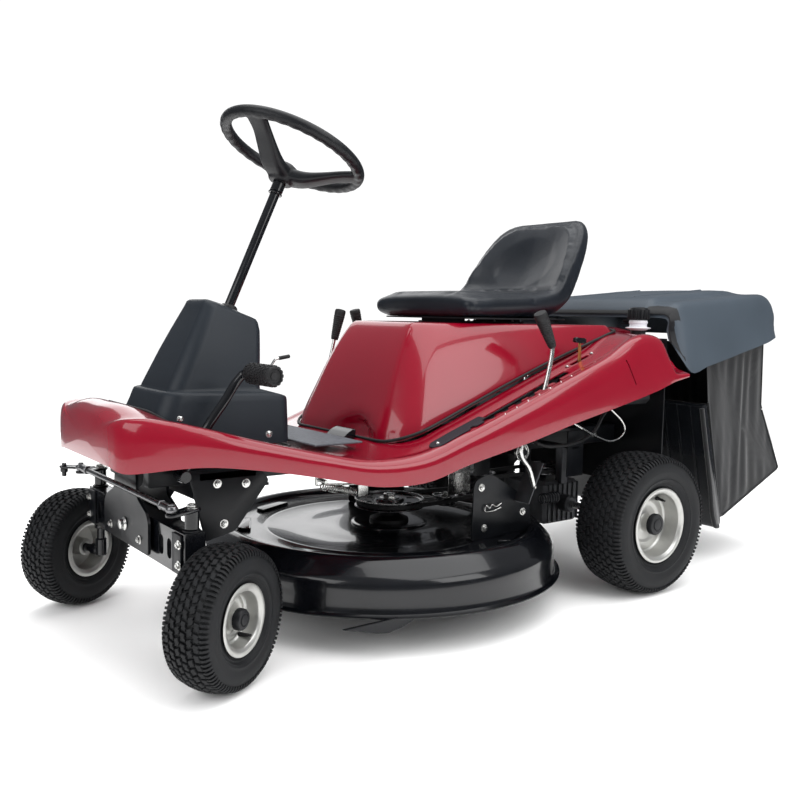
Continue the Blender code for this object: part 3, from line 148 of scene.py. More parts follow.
def studio():
    """White to the eye and to matt surfaces; a calmer gradient for glossy ones to mirror."""
    world = bpy.data.worlds.new("studio")
    world.use_nodes = True
    tree = world.node_tree
    link = tree.links.new
    glow = tree.nodes["Background"]
    glow.inputs["Strength"].default_value = 0.4
    seen = add_node(tree, "Background", Color=(1, 1, 1, 1), Strength=1.08)
    split = add_node(tree, "SeparateXYZ")
    ramp = ramp_between(tree, (0.02, (0.34, 0.35, 0.38)), (0.75, (0.92, 0.95, 1.0)))
    link(add_node(tree, "TexCoord").outputs["Generated"], split.inputs["Vector"])
    link(split.outputs["Z"], ramp.inputs["Fac"])
    link(ramp.outputs["Color"], glow.inputs["Color"])
    path, plain, mix = add_node(tree, "LightPath"), add_node(tree, "Math"), add_node(tree, "MixShader")
    plain.operation = "MAXIMUM"
    link(path.outputs["Is Camera Ray"], plain.inputs[0])
    link(path.outputs["Is Diffuse Ray"], plain.inputs[1])
    link(plain.outputs["Value"], mix.inputs["Fac"])
    link(glow.outputs["Background"], mix.inputs[1])
    link(seen.outputs["Background"], mix.inputs[2])
    link(mix.outputs["Shader"], tree.nodes["World Output"].inputs["Surface"])
    bpy.context.scene.world = world
    bpy.context.scene.view_settings.view_transform = "Standard"
    pale_floor()
    area_light("top_softbox", (0.3, 0.1, 3.1), (0, 0, 0.3), (3.0, 4.2), 105)
    area_light("front_softbox", (0.6, -3.6, 1.9), (0, 0, 0.5), (2.6, 1.8), 40)
    area_light("side_softbox", (3.4, 0.9, 2.4), (0, 0.2, 0.4), (2.2, 2.0), 50)
    area_light("far_softbox", (-3.2, 0.6, 2.0), (0, 0, 0.5), (2.4, 2.4), 32)


studio()

# %% [markdown]
# Every finish is one Principled shader. What varies over a real surface, such as tone, wear and
# grain, comes from noise measured in metres through object coordinates, so it has the right scale
# on a bolt and on a fender alike. What is the same all over is set on the shader itself.

# %% One maker for all the finishes
FINISHES = {}


def finish(name, slot, colour, rough, metal=0.0, tone=0.12, patch=9.0, grain=0.05, pitch=0.002, wear=0.08,
        coat=0.0, sheen=0.0, stretch=(1, 1, 1)):
    """A procedural finish: tone varies in patches, grain is a bump of the given pitch in metres."""
    mat = bpy.data.materials.new(name)
    mat.use_nodes = True
    tree = mat.node_tree
    link = tree.links.new
    shader = tree.nodes["Principled BSDF"]
    for socket, value in (("Metallic", metal), ("Coat Weight", coat), ("Coat Roughness", 0.04),
            ("Specular IOR Level", 0.5 if metal > 0.5 else 0.28), ("Sheen Weight", sheen),
            ("Sheen Roughness", 0.5)):
        shader.inputs[socket].default_value = value
    scaled = add_node(tree, "Mapping", Scale=stretch)
    broad = add_node(tree, "TexNoise", Scale=patch, Detail=5)
    fine = add_node(tree, "TexNoise", Scale=1 / pitch, Detail=3)
    gloss = add_node(tree, "MapRange")
    gloss.inputs["To Min"].default_value = max(0.02, rough - wear)
    gloss.inputs["To Max"].default_value = min(1.0, rough + wear)
    bump = add_node(tree, "Bump", Strength=grain, Distance=pitch / 3)
    ramp = ramp_between(tree, (0.3, [c * (1 - tone) for c in colour]),
        (0.72, [min(1, c * (1 + tone)) for c in colour]))
    link(add_node(tree, "TexCoord").outputs["Object"], scaled.inputs["Vector"])
    link(scaled.outputs["Vector"], broad.inputs["Vector"])
    link(scaled.outputs["Vector"], fine.inputs["Vector"])
    link(broad.outputs["Fac"], ramp.inputs["Fac"])
    link(ramp.outputs["Color"], shader.inputs["Base Color"])
    link(broad.outputs["Fac"], gloss.inputs["Value"])
    link(gloss.outputs["Result"], shader.inputs["Roughness"])
    link(fine.outputs["Fac"], bump.inputs["Height"])
    link(bump.outputs["Normal"], shader.inputs["Normal"])
    mat["slot"] = slot
    FINISHES[name] = mat
    return mat


RED = finish("crimson_lacquer", "red_paint", (0.2, 0.0006, 0.011), 0.2, tone=0.05, patch=3, grain=0.02,
    pitch=0.004, wear=0.04, coat=0.62)
GLOSS = finish("gloss_black_lacquer", "black_paint", (0.0035, 0.004, 0.0055), 0.2, tone=0.3, patch=14,
    grain=0.03, pitch=0.003, wear=0.05, coat=0.4)
SATIN = finish("satin_black_powder_coat", "black_paint", (0.0045, 0.0052, 0.0068), 0.36, tone=0.25,
    patch=24, grain=0.15, pitch=0.0008)
CAST = finish("black_casting", "cast_black", (0.007, 0.007, 0.008), 0.48, metal=0.2, tone=0.3, patch=40,
    grain=0.5, pitch=0.0015)
ALLOY = finish("dark_alloy_casting", "cast_alloy", (0.055, 0.057, 0.062), 0.45, metal=0.7, tone=0.25,
    patch=30, grain=0.4, pitch=0.0012)
STEEL = finish("bright_zinc_steel", "bright_steel", (0.6, 0.6, 0.58), 0.26, metal=1.0, tone=0.12,
    patch=60, grain=0.1, pitch=0.0006, wear=0.1)
TURNED = finish("turned_pulley_steel", "bright_steel", (0.16, 0.16, 0.165), 0.28, metal=1.0, tone=0.25,
    patch=50, grain=0.2, pitch=0.0005, stretch=(1, 1, 12))
SILVER = finish("silver_wheel_paint", "rim_silver", (0.46, 0.46, 0.44), 0.34, metal=0.75, tone=0.1,
    patch=25, grain=0.12, pitch=0.0006, coat=0.25)
BRASS = finish("yellow_passivated_blade", "brass_blade", (0.6, 0.38, 0.13), 0.32, metal=1.0, tone=0.2,
    patch=80, grain=0.1, pitch=0.0006)
CONSOLE = finish("grained_console_plastic", "black_plastic", (0.0085, 0.0125, 0.018), 0.44, tone=0.08,
    patch=7, grain=0.35, pitch=0.0011, wear=0.06)
PLASTIC = finish("black_moulding", "black_plastic", (0.0055, 0.0062, 0.0078), 0.42, tone=0.15, patch=20,
    grain=0.25, pitch=0.0009)
SHINY = finish("polished_black_moulding", "black_plastic", (0.007, 0.008, 0.01), 0.18, tone=0.2, patch=20,
    grain=0.05, pitch=0.0015, coat=0.3)
LID = finish("slate_lid_plastic", "grey_plastic", (0.042, 0.055, 0.07), 0.42, tone=0.1, patch=5,
    grain=0.35, pitch=0.0013, wear=0.07)
TANK = finish("milky_tank_plastic", "white_plastic", (0.6, 0.6, 0.64), 0.4, tone=0.06, patch=12,
    grain=0.08, pitch=0.003)
TYRE = finish("tyre_rubber", "tread_rubber", (0.006, 0.0066, 0.0078), 0.62, tone=0.35, patch=28,
    grain=0.4, pitch=0.0012, wear=0.12)
RUBBER = finish("soft_black_rubber", "soft_rubber", (0.012, 0.012, 0.013), 0.55, tone=0.25, patch=40,
    grain=0.3, pitch=0.0008)
MAT = finish("grey_anti_slip_mat", "soft_rubber", (0.075, 0.082, 0.095), 0.6, tone=0.35, patch=110,
    grain=0.9, pitch=0.003)
VINYL = finish("navy_black_vinyl", "seat_vinyl", (0.0065, 0.009, 0.0135), 0.36, tone=0.15, patch=11,
    grain=0.5, pitch=0.0016, wear=0.07, coat=0.1)
GLASSY = finish("silver_label_foil", "bright_steel", (0.8, 0.8, 0.78), 0.3, metal=0.3, tone=0.1, patch=50,
    grain=0.05, pitch=0.001)
print("finishes", len(FINISHES))

# %% [markdown]
# Sheet metal, castings and mouldings come from a few shop operations: turning a profile, sweeping a
# bar, lofting sections, cutting a plate from its outline, and carving one solid with another.
# Small helpers for these keep each piece below short, and every edge they make is rounded or
# chamfered, because a real edge always catches a thin line of light.

# %% Turning a work mesh into a finished piece
def build(name, bm, body, mat, stands_for=(), sharp=38, outward=True):
    """Moves a mesh from the wheelbase's middle into the frame, and puts it on its body."""
    if outward:
        bmesh.ops.recalc_face_normals(bm, faces=bm.faces)
    mesh = bpy.data.meshes.new(name)
    bm.to_mesh(mesh)
    bm.free()
    mesh.transform(SHIFT)
    mesh.materials.append(mat)
    mesh.shade_smooth()
    mesh.set_sharp_from_angle(angle=radians(sharp))
    ob = bpy.data.objects.new(name, mesh)
    bpy.context.scene.collection.objects.link(ob)
    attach(ob, body)
    if stands_for:
        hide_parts(*stands_for)
    return ob


def dress(mat, *nodes):
    """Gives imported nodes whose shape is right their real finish."""
    for node in nodes:
        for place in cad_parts[node].material_slots:
            place.material = mat


def join(*parts):
    """Several work meshes as one."""
    whole = bmesh.new()
    for part in parts:
        mesh = bpy.data.meshes.new("work")
        part.to_mesh(mesh)
        part.free()
        whole.from_mesh(mesh)
        bpy.data.meshes.remove(mesh)
    return whole


def moved(bm, matrix):
    bmesh.ops.transform(bm, matrix=matrix, verts=bm.verts)
    return bm


def copies(bm, matrices):
    """The same work mesh set down at every one of the places."""
    mesh = bpy.data.meshes.new("work")
    bm.to_mesh(mesh)
    bm.free()
    whole = bmesh.new()
    for matrix in matrices:
        one = bmesh.new()
        one.from_mesh(mesh)
        whole = join(whole, moved(one, matrix))
    bpy.data.meshes.remove(mesh)
    return whole


def carve(bm, cutter, wall=0.0, how="DIFFERENCE", voxel=0.0, soften=0):
    """Thickens a sheet inwards by its wall, cuts with the cutter, or fuses by remeshing."""
    objects = []
    for part in (bm, cutter):
        if part is None:
            continue
        bmesh.ops.recalc_face_normals(part, faces=part.faces)
        roof = max((f for f in part.faces if abs(f.normal.z) > 0.3),
            key=lambda f: f.calc_center_median().z)
        if roof.normal.z < 0:
            bmesh.ops.reverse_faces(part, faces=part.faces)
        mesh = bpy.data.meshes.new("work")
        part.to_mesh(mesh)
        part.free()
        ob = bpy.data.objects.new("work", mesh)
        bpy.context.scene.collection.objects.link(ob)
        objects.append(ob)
    base = objects[0]
    if wall:
        shell = base.modifiers.new("wall", "SOLIDIFY")
        shell.thickness, shell.offset = wall, -1
    if cutter is not None:
        boolean = base.modifiers.new("cut", "BOOLEAN")
        boolean.operation, boolean.solver, boolean.object = how, "EXACT", objects[1]
    if voxel:
        remesh = base.modifiers.new("fuse", "REMESH")
        remesh.mode, remesh.voxel_size = "VOXEL", voxel
    if soften:
        smooth = base.modifiers.new("soften", "SMOOTH")
        smooth.factor, smooth.iterations = 0.5, soften
    result = bmesh.new()
    result.from_object(base, bpy.context.evaluated_depsgraph_get())
    for ob in objects:
        mesh = ob.data
        bpy.data.objects.remove(ob)
        bpy.data.meshes.remove(mesh)
    return result


print("helpers for pieces ready")

# %% Curves, loops and profiles
def smoothed(points, steps=6, closed=False):
    """Points of a smooth curve through the given ones, even where their spacing changes."""
    pts = [tuple(p) for p in points]
    count = len(pts)
    spans = count if closed else count - 1
    gaps = [max(1e-9, dist(pts[k], pts[(k + 1) % count])) for k in range(spans)]
    slopes = [tuple((b - a) / g for a, b in zip(pts[k], pts[(k + 1) % count])) for k,
        g in enumerate(gaps)]
    ways = []
    for k in range(count):
        if not closed and k in (0, count - 1):
            ways.append(slopes[min(k, spans - 1)])
            continue
        g, h = gaps[k - 1], gaps[k % spans]
        ways.append(tuple((p * h + q * g) / (g + h) for p, q in zip(slopes[k - 1], slopes[k % spans])))
    path = []
    for k, gap in enumerate(gaps):
        n = (k + 1) % count
        for i in range(steps):
            t = i / steps
            u, v = t * t * (3 - 2 * t), t * (1 - t)
            path.append(tuple(a + (b - a) * u + gap * v * ((1 - t) * p - t * q) for a, b, p,
                q in zip(pts[k], pts[n], ways[k], ways[n])))
    if not closed:
        path.append(pts[-1])
    return path


def softened(profile, radius, steps=3, closed=False):
    """Rounds the corners of a profile: each becomes a short arc."""
    out = []
    count = len(profile)
    for k, here in enumerate(profile):
        if not closed and k in (0, count - 1):
            out.append(tuple(here))
            continue
        here = Vector(here)
        back, ahead = Vector(profile[k - 1]) - here, Vector(profile[(k + 1) % count]) - here
        reach = min(radius, back.length * 0.45, ahead.length * 0.45)
        if reach < 1e-6:
            out.append(tuple(here))
            continue
        start, end = here + back.normalized() * reach, here + ahead.normalized() * reach
        for i in range(steps + 1):
            t = i / steps
            out.append(tuple(start * (1 - t) ** 2 + here * 2 * t * (1 - t) + end * t * t))
    return out


def ring_of(radius, sides, x=0.0, y=0.0, turn=0.0):
    return [(x + radius * cos(tau * k / sides + turn),
        y + radius * sin(tau * k / sides + turn)) for k in range(sides)]


def rounded_plan(half_x, front, rear, front_corner, rear_corner, steps=10):
    """Plan outline with round corners, from the rear left, counter-clockwise."""
    outline = []
    corners = [(half_x - rear_corner, rear - rear_corner, rear_corner, 0),
        (rear_corner - half_x, rear - rear_corner, rear_corner, 90),
        (front_corner - half_x, front + front_corner, front_corner, 180),
        (half_x - front_corner, front + front_corner, front_corner, 270)]
    for x, y, r, begin in corners:
        for k in range(steps + 1):
            a = radians(begin + 90 * k / steps)
            outline.append((x + r * cos(a), y + r * sin(a)))
    return outline


print("helpers for lines ready")

# %% Shop operations: loft, turn, plate, block, bar and bolt
def loft(rows, ring=True, cap_start=False, cap_end=False):
    """Joins rows of points with faces; a ring's rows close on themselves."""
    bm = bmesh.new()
    grid = [[bm.verts.new(p) for p in row] for row in rows]
    for low, high in zip(grid, grid[1:]):
        last = len(low) if ring else len(low) - 1
        for k in range(last):
            n = (k + 1) % len(low)
            bm.faces.new((low[k], low[n], high[n], high[k]))
    if cap_start:
        bm.faces.new(grid[0][::-1])
    if cap_end:
        bm.faces.new(grid[-1])
    return bm


AXIS_TURN = {"Z": Matrix.Identity(4), "X": Matrix.Rotation(pi / 2, 4, "Y"),
    "Y": Matrix.Rotation(-pi / 2, 4, "X")}


def turned(profile, sides=48, axis="Z", centre=(0, 0, 0), solid=True):
    """Turns a profile of (radius, height); a solid one runs from axis to axis, or closes itself."""
    bm = bmesh.new()
    rows = []
    for r, h in profile:
        if r < 1e-6:
            rows.append([bm.verts.new((0, 0, h))])
        else:
            rows.append([bm.verts.new((x, y, h)) for x, y in ring_of(r, sides)])
    pairs = list(zip(rows, rows[1:]))
    if solid and len(rows[0]) > 1:
        pairs.append((rows[-1], rows[0]))
    for a, b in pairs:
        for k in range(sides):
            n = (k + 1) % sides
            loop = [a[k % len(a)], a[n % len(a)], b[n % len(b)], b[k % len(b)]]
            loop = [v for i, v in enumerate(loop) if v not in loop[:i]]
            if len(loop) > 2:
                bm.faces.new(loop)
    return moved(bm, shift_to(centre) @ AXIS_TURN[axis])


def plate(outline, axis, low, high, bevel=0.0, segments=2):
    """A flat plate cut from an outline in the plane square to the axis, edges broken."""
    bm = bmesh.new()
    k = "XYZ".index(axis)
    rows = []
    for level in (low, high):
        row = []
        for pair in outline:
            place = list(pair)
            place.insert(k, level)
            row.append(bm.verts.new(place))
        rows.append(row)
    for i in range(len(outline)):
        n = (i + 1) % len(outline)
        bm.faces.new((rows[0][i], rows[0][n], rows[1][n], rows[1][i]))
    rims = [bm.faces.new(rows[0][::-1]), bm.faces.new(rows[1])]
    if bevel:
        edges = {e for face in rims for e in face.edges}
        bmesh.ops.bevel(bm, geom=list(edges), offset=bevel, segments=segments, profile=0.6,
            affect="EDGES")
    return bm


def block(low, high, bevel=0.002, segments=2):
    """A machined or moulded block with rounded edges."""
    bm = bmesh.new()
    bmesh.ops.create_cube(bm, size=1.0)
    size = [h - l for l, h in zip(low, high)]
    bmesh.ops.scale(bm, vec=size, verts=bm.verts)
    bmesh.ops.translate(bm, vec=[(h + l) / 2 for l, h in zip(low, high)], verts=bm.verts)
    bmesh.ops.bevel(bm, geom=bm.edges[:], offset=min(bevel, min(size) * 0.45), segments=segments,
        profile=0.6, affect="EDGES")
    return bm


def along(start, end, twist=0.0):
    """Matrix that stands a mesh made on +Z at the start, aimed at the end."""
    a, b = Vector(start), Vector(end)
    aim = (b - a).to_track_quat("Z", "Y").to_matrix().to_4x4()
    return shift_to(a) @ aim @ Matrix.Rotation(twist, 4, "Z")


def bar(start, end, radius, sides=24, tip=0.0012):
    """A round bar with chamfered ends."""
    length = (Vector(end) - Vector(start)).length
    tip = min(tip, radius * 0.6, length * 0.3)
    profile = [(0, 0), (radius - tip, 0), (radius, tip), (radius, length - tip), (radius - tip, length),
        (0, length)]
    return moved(turned(profile, sides), along(start, end))


def swept(points, radius, sides=14, ring=False, taper=None):
    """A rod along a bent path, carried without twisting, ends slightly domed."""
    path = [Vector(p) for p in points]
    count = len(path)
    rows, normal = [], None
    for k, place in enumerate(path):
        ahead = (path[(k + 1) % count] if ring or k + 1 < count else place)
        behind = (path[k - 1] if ring or k else place)
        tangent = (ahead - behind).normalized()
        if normal is None:
            normal = tangent.orthogonal()
        normal = (normal - tangent * normal.dot(tangent)).normalized()
        side = tangent.cross(normal)
        r = radius * (taper[k] if taper else 1)
        rows.append([place + (normal * cos(tau * i / sides) + side * sin(tau * i / sides)) * r
            for i in range(sides)])
    if ring:
        return loft(rows + [rows[0]])
    for end, at, out in ((0, path[0], path[0] - path[1]), (-1, path[-1], path[-1] - path[-2])):
        cap = [at + (p - at) * 0.75 + out.normalized() * radius * 0.22 for p in rows[end]]
        rows = [cap] + rows if end == 0 else rows + [cap]
    return loft(rows, cap_start=True, cap_end=True)


def hexagon_bolt(radius=0.0065, washer=0.0095, tall=0.0048):
    """Hexagon head on a washer, made upright on the origin."""
    rim = turned(softened([(0, 0), (washer, 0), (washer, 0.0014), (0, 0.0014)], 0.0004), 28, solid=False)
    head = plate(ring_of(radius, 6), "Z", 0.0012, 0.0012 + tall, 0.0005)
    stud = turned([(0, 0.001), (radius * 0.5, 0.001), (radius * 0.5, tall + 0.0028), (0, tall + 0.0032)],
        16, solid=False)
    return join(rim, head, stud)


def pan_screw(radius=0.006):
    """Cross-recess pan head on a thin washer, made upright on the origin."""
    dome = [(0, 0), (radius * 1.35, 0), (radius * 1.35, 0.0008), (radius, 0.001), (radius * 0.95, 0.0024),
        (radius * 0.7, 0.0036), (radius * 0.35, 0.004), (radius * 0.3, 0.0026), (0, 0.0024)]
    return turned(dome, 28, solid=False)


def bolts(name, places, body, mat=None, head=None):
    """Sets bolt heads at (foot, tip) pairs; the tip gives the way the head looks."""
    make = head or hexagon_bolt
    return build(name, copies(make(), [along(a, b, 0.3 + k) for k, (a, b) in enumerate(places)]), body,
        mat or STEEL)


print("shop helpers ready")

# %% [markdown]
# ## The red body
# The body is one pressed steel tub: a box nose, low sides at the footwell, and fenders that climb to
# the rear. A press forms it over one tool, so the whole skin is a single loft through cross-sections.
# Each section has a flat flank, a rolled shoulder, a shallow gutter and a gently crowned middle.

# %% Sections of the tub
SHEET = 0.003
TUB_STATIONS = [       # y, half width, lower edge, shoulder, crown
    (-0.732, 0.15, 0.413, 0.486, 0.496), (-0.727, 0.18, 0.407, 0.496, 0.51),
    (-0.715, 0.203, 0.405, 0.503, 0.52), (-0.69, 0.224, 0.408, 0.506, 0.526),
    (-0.64, 0.248, 0.414, 0.5, 0.512), (-0.585, 0.266, 0.416, 0.487, 0.478),
    (-0.47, 0.291, 0.403, 0.456, 0.442), (-0.34, 0.319, 0.379, 0.425, 0.42),
    (-0.225, 0.334, 0.354, 0.404, 0.412), (-0.11, 0.344, 0.352, 0.408, 0.424),
    (0.013, 0.352, 0.383, 0.447, 0.47), (0.197, 0.36, 0.423, 0.513, 0.542),
    (0.344, 0.366, 0.46, 0.568, 0.596), (0.474, 0.37, 0.489, 0.618, 0.638),
    (0.6, 0.373, 0.518, 0.672, 0.678), (0.655, 0.374, 0.532, 0.662, 0.688),
    (0.69, 0.374, 0.543, 0.62, 0.688), (0.722, 0.374, 0.552, 0.576, 0.688),
    (0.775, 0.374, 0.562, 0.572, 0.688)]


def reading(y, column):
    """One column of the stations at any place along the machine."""
    for a, b in zip(TUB_STATIONS, TUB_STATIONS[1:]):
        if y <= b[0]:
            t = max(0.0, (y - a[0]) / (b[0] - a[0]))
            return a[column] + t * (b[column] - a[column])
    return TUB_STATIONS[-1][column]


def tub_section(y, half, low, shoulder, crown):
    flank = half - 0.06
    gutter = shoulder + 0.25 * (crown - shoulder)
    tall = shoulder - low
    side = [(half - 0.001, low), (half, low + 0.15 * tall), (half + 0.0005, low + 0.45 * tall),
        (half - 0.001, shoulder - 0.2 * tall), (half - 0.01, shoulder + 0.001),
        (half - 0.024, shoulder + 0.005), (half - 0.04, shoulder + 0.3 * (gutter - shoulder) + 0.001),
        (flank, gutter), (0.86 * flank, gutter + 0.3 * (crown - gutter)),
        (0.55 * flank, crown - 0.1 * (crown - gutter))]
    left = [(x, y, z) for x, z in side]
    return left + [(0.0, y, crown)] + [(-x, y, z) for x, y, z in reversed(left)]


def nose_face(rim, middle_z=0.455):
    """Closes the front: rings of the first section, shrinking to its middle."""
    left, right = rim[0], rim[-1]
    under = [tuple(q + (p - q) * k / 12 for p, q in zip(left, right)) for k in range(1, 12)]
    rings = [[(x * share, y, middle_z + (z - middle_z) * share) for x, _, z in rim + under] for share,
        y in ((1.0, rim[0][1]), (0.85, -0.7332), (0.5, -0.7342), (0.1, -0.7344))]
    return loft(rings, cap_end=True)


def tub_skin():
    rows = [smoothed(tub_section(*s), 3) for s in smoothed(TUB_STATIONS, 5)]
    skin = join(loft(rows, ring=False, cap_end=True), nose_face(rows[0]))
    bmesh.ops.remove_doubles(skin, verts=skin.verts, dist=1e-5)
    return skin


print("tub sections", len(TUB_STATIONS), "length", TUB_STATIONS[-1][0] - TUB_STATIONS[0][0])

# %% [markdown]
# The openings are punched after pressing: one for the hood, one for the footwell console, and slots
# for the pedal and the levers. The height slot has six notches on its outer side, where the lever
# locks. Cutting them from the finished skin, rather than building around them, keeps the skin smooth.

# %% Punching the openings
HOOD_HALF, HOOD_FRONT, HOOD_REAR, HOOD_TOP = 0.245, -0.112, 0.625, 0.697
LEVER_X = 0.31


def slot_plan(x0, x1, y0, y1, corner=0.004):
    return [(x + (x0 + x1) / 2, y) for x, y in rounded_plan((x1 - x0) / 2, y0, y1, corner, corner, 4)]


def notched_plan(front=0.08, rear=0.366, notches=6, deep=0.0135):
    """The height slot: a straight inner edge, and notches along the outer one."""
    inner, outer = LEVER_X - 0.0105, LEVER_X + 0.0075
    plan = [(inner, rear - 0.006), (inner, front), (outer, front)]
    step = (rear - front - 0.03) / notches
    for k in range(notches):
        y = front + 0.012 + step * k
        plan += [(outer, y), (outer + deep, y + 0.002), (outer + deep, y + step * 0.5),
            (outer, y + step * 0.54)]
    plan += [(outer, rear), (inner + 0.006, rear)]
    return softened(plan, 0.0018, 2, closed=True)


def punched_tub():
    holes = [plate(rounded_plan(HOOD_HALF + 0.004, HOOD_FRONT - 0.004, HOOD_REAR + 0.004, 0.094, 0.034),
        "Z", 0.36, 0.8), plate(rounded_plan(0.128, -0.649, -0.308, 0.044, 0.032), "Z", 0.36, 0.8),
        plate(slot_plan(0.152, 0.188, -0.61, -0.425, 0.017), "Z", 0.4, 0.6),
        plate(notched_plan(), "Z", 0.4, 0.7),
        plate(slot_plan(0.284, 0.296, 0.396, 0.462), "Z", 0.52, 0.72),
        plate(slot_plan(-0.2705, -0.2535, -0.06, 0.07), "Z", 0.36, 0.6),
        plate(slot_plan(-0.29, -0.268, 0.1, 0.265), "Z", 0.4, 0.7),
        plate(ring_of(0.024, 40, 0.22, 0.744), "Z", 0.6, 0.75),]
    for x0, x1 in ((0.365, 0.385), (-0.385, -0.365)):
        slit = [(0.5115, 0.612), (0.5155, 0.612), (0.5565, 0.548), (0.5525, 0.548)]
        holes.append(plate(slit, "X", x0, x1))
    return carve(tub_skin(), join(*holes), wall=SHEET)


tub = build("body_tub_skin", punched_tub(), "chassis", RED, ["body_tub"], sharp=32)
print("tub faces", len(tub.data.polygons))

# %% [markdown]
# ## The hood
# A second pressing covers the engine. Its base follows the sloping body, its top is level under the
# seat, and the sides draw in as they rise. Rings of one plan shape, blended from base to top, give
# the soft corners a deep-drawn panel has. The arch at the front leaves room for fingers on the latch.

# %% Drawing the hood
LATCH_X = 0.06


def mix(a, b, t):
    return tuple(p + (q - p) * t for p, q in zip(a, b))


def paired(base, top, step=0.03):
    """Matches two plans point by point, with extra points on their long straight sides."""
    pairs = []
    for k in range(len(base)):
        n = (k + 1) % len(base)
        length = dist(base[k], base[n])
        parts = round(length / step) if length > 0.05 else 1
        pairs += [(mix(base[k], base[n], i / parts),
            mix(top[k], top[n], i / parts)) for i in range(parts)]
    return pairs


def hood_rings():
    base = rounded_plan(HOOD_HALF, HOOD_FRONT, HOOD_REAR, 0.09, 0.03, 12)
    top = rounded_plan(0.5, 0.02, 0.6, 0.06, 0.03, 12)
    rises = smoothed([(0.0, 0.0), (0.09, 0.035), (0.18, 0.1), (0.36, 0.255), (0.55, 0.42), (0.7, 0.565),
        (0.82, 0.7), (0.905, 0.81), (0.955, 0.885), (0.985, 0.945), (1.0, 1.0)], 3)
    levels = [(-0.004, -0.012, 1), (0.01, -0.012, 1), (0.014, 0.0, 1)] + [(r, i, 1) for r, i in rises[1:]]
    levels += [(1.003, 1.0, 0.93), (1.004, 1.0, 0.6), (1.004, 1.0, 0.2)]
    rings = []
    for rise, inset, shrink in levels:
        ring = []
        for (bx, by), (tx, ty) in paired(base, top):
            t = max(0.0, min(1.0, (ty - 0.02) / 0.58))
            x, y = mix((bx, by), (tx / 0.5 * (0.135 + 0.1 * t ** 0.7), ty), inset)
            low = reading(by, 4) - 0.006
            ring.append((x * shrink, 0.31 + (y - 0.31) * shrink, low + (HOOD_TOP - low) * rise))
        rings.append(ring)
    return rings


def hood_panel():
    bm = loft(hood_rings(), cap_end=True)
    foot = reading(HOOD_FRONT, 4)
    for v in bm.verts:
        side = (v.co.x - LATCH_X) / 0.06
        rise = (v.co.z - foot + 0.004) / 0.04
        if v.co.y < 0.02 and abs(side) < 1.6 and rise < 1.8:
            arch = side * side + max(0.0, rise) ** 2
            v.co.y += 0.02 * max(0.0, min(1.0, (1.9 - arch) / 1.1))
    return carve(bm, None, wall=SHEET)


hood = build("hood_skin", hood_panel(), "hood", RED, ["hood"], sharp=40)
print("hood faces", len(hood.data.polygons))

# %% [markdown]
# A black rubber strip is pushed over the edge of each big opening, so hood and console don't rattle.
# It is one endless cord swept round the opening, at the height of the body there.

# %% Rubber strips round the openings
def strip(name, plan, lift, thick, body="chassis"):
    path = []
    for a, b in zip(plan, plan[1:] + plan[:1]):
        parts = max(1, round(dist(a, b) / 0.02))
        path += [(a[0] + (b[0] - a[0]) * i / parts,
            a[1] + (b[1] - a[1]) * i / parts) for i in range(parts)]
    points = [(x, y, reading(y, 4) + lift) for x, y in path]
    return build(name, swept(points, thick, 10, ring=True), body, RUBBER)


strip("hood_edge_strip", rounded_plan(0.2505, -0.1175, 0.6305, 0.095, 0.036, 8), 0.0012, 0.0036)
strip("console_edge_strip", rounded_plan(0.1275, -0.648, -0.308, 0.044, 0.032, 8), 0.001, 0.003)
print("strips", 2)

# %% [markdown]
# ## The footwell console
# A blow-moulded plastic tower hides the steering gear. It has a broad base, a ledge with a groove
# all round, and a tower that narrows and leans back. One loft of rounded plans makes the soft, wide
# corners of such a moulding; a hole in its top lets the column out.

# %% Moulding the console
CONSOLE_LEVELS = [     # height, half width, front, rear, corner radius
    (0.43, 0.124, -0.645, -0.312, 0.044), (0.47, 0.1215, -0.63, -0.312, 0.044),
    (0.524, 0.116, -0.606, -0.312, 0.042), (0.54, 0.1135, -0.6, -0.3125, 0.04),
    (0.5455, 0.1115, -0.597, -0.315, 0.038), (0.548, 0.106, -0.592, -0.32, 0.036),
    (0.5485, 0.1035, -0.589, -0.37, 0.034), (0.547, 0.1015, -0.5865, -0.3715, 0.034),
    (0.549, 0.0995, -0.5845, -0.3725, 0.034), (0.554, 0.0985, -0.583, -0.3725, 0.034),
    (0.59, 0.094, -0.565, -0.3705, 0.033), (0.63, 0.0885, -0.545, -0.3675, 0.032),
    (0.67, 0.0805, -0.524, -0.364, 0.03), (0.705, 0.0725, -0.505, -0.361, 0.028),
    (0.728, 0.0665, -0.493, -0.3625, 0.027), (0.737, 0.063, -0.4895, -0.3655, 0.026),
    (0.7405, 0.058, -0.485, -0.37, 0.024), (0.7415, 0.05, -0.478, -0.376, 0.02)]


def console_ring(z, half, front, rear, corner):
    plan = rounded_plan(half, front, rear, corner, min(corner * 0.6, (rear - front) * 0.3), 10)
    ring = []
    for x, y in plan:
        drop = 0.0
        if z > 0.57:
            drop = 0.04 * (z - 0.57) / 0.17 * (y - front) / (rear - front)
        elif z > 0.52 and y > -0.38:
            drop = 0.26 * (y + 0.38) * (z - 0.52) / 0.028
        ring.append((x, y, z - drop))
    return ring


def console_shell():
    rings = [console_ring(*level) for level in CONSOLE_LEVELS]
    top = rings[-1]
    hole_y, hole_z = -0.4085, 0.724
    for share in (0.5, 1.0):
        rings.append([mix(p, (0.0165 * cos(a), hole_y + 0.0185 * sin(a), hole_z - 0.008 * sin(a)),
            share) for p, a in ((q, atan2(q[1] - hole_y, q[0])) for q in top)])
    return carve(loft(rings), None, wall=SHEET)


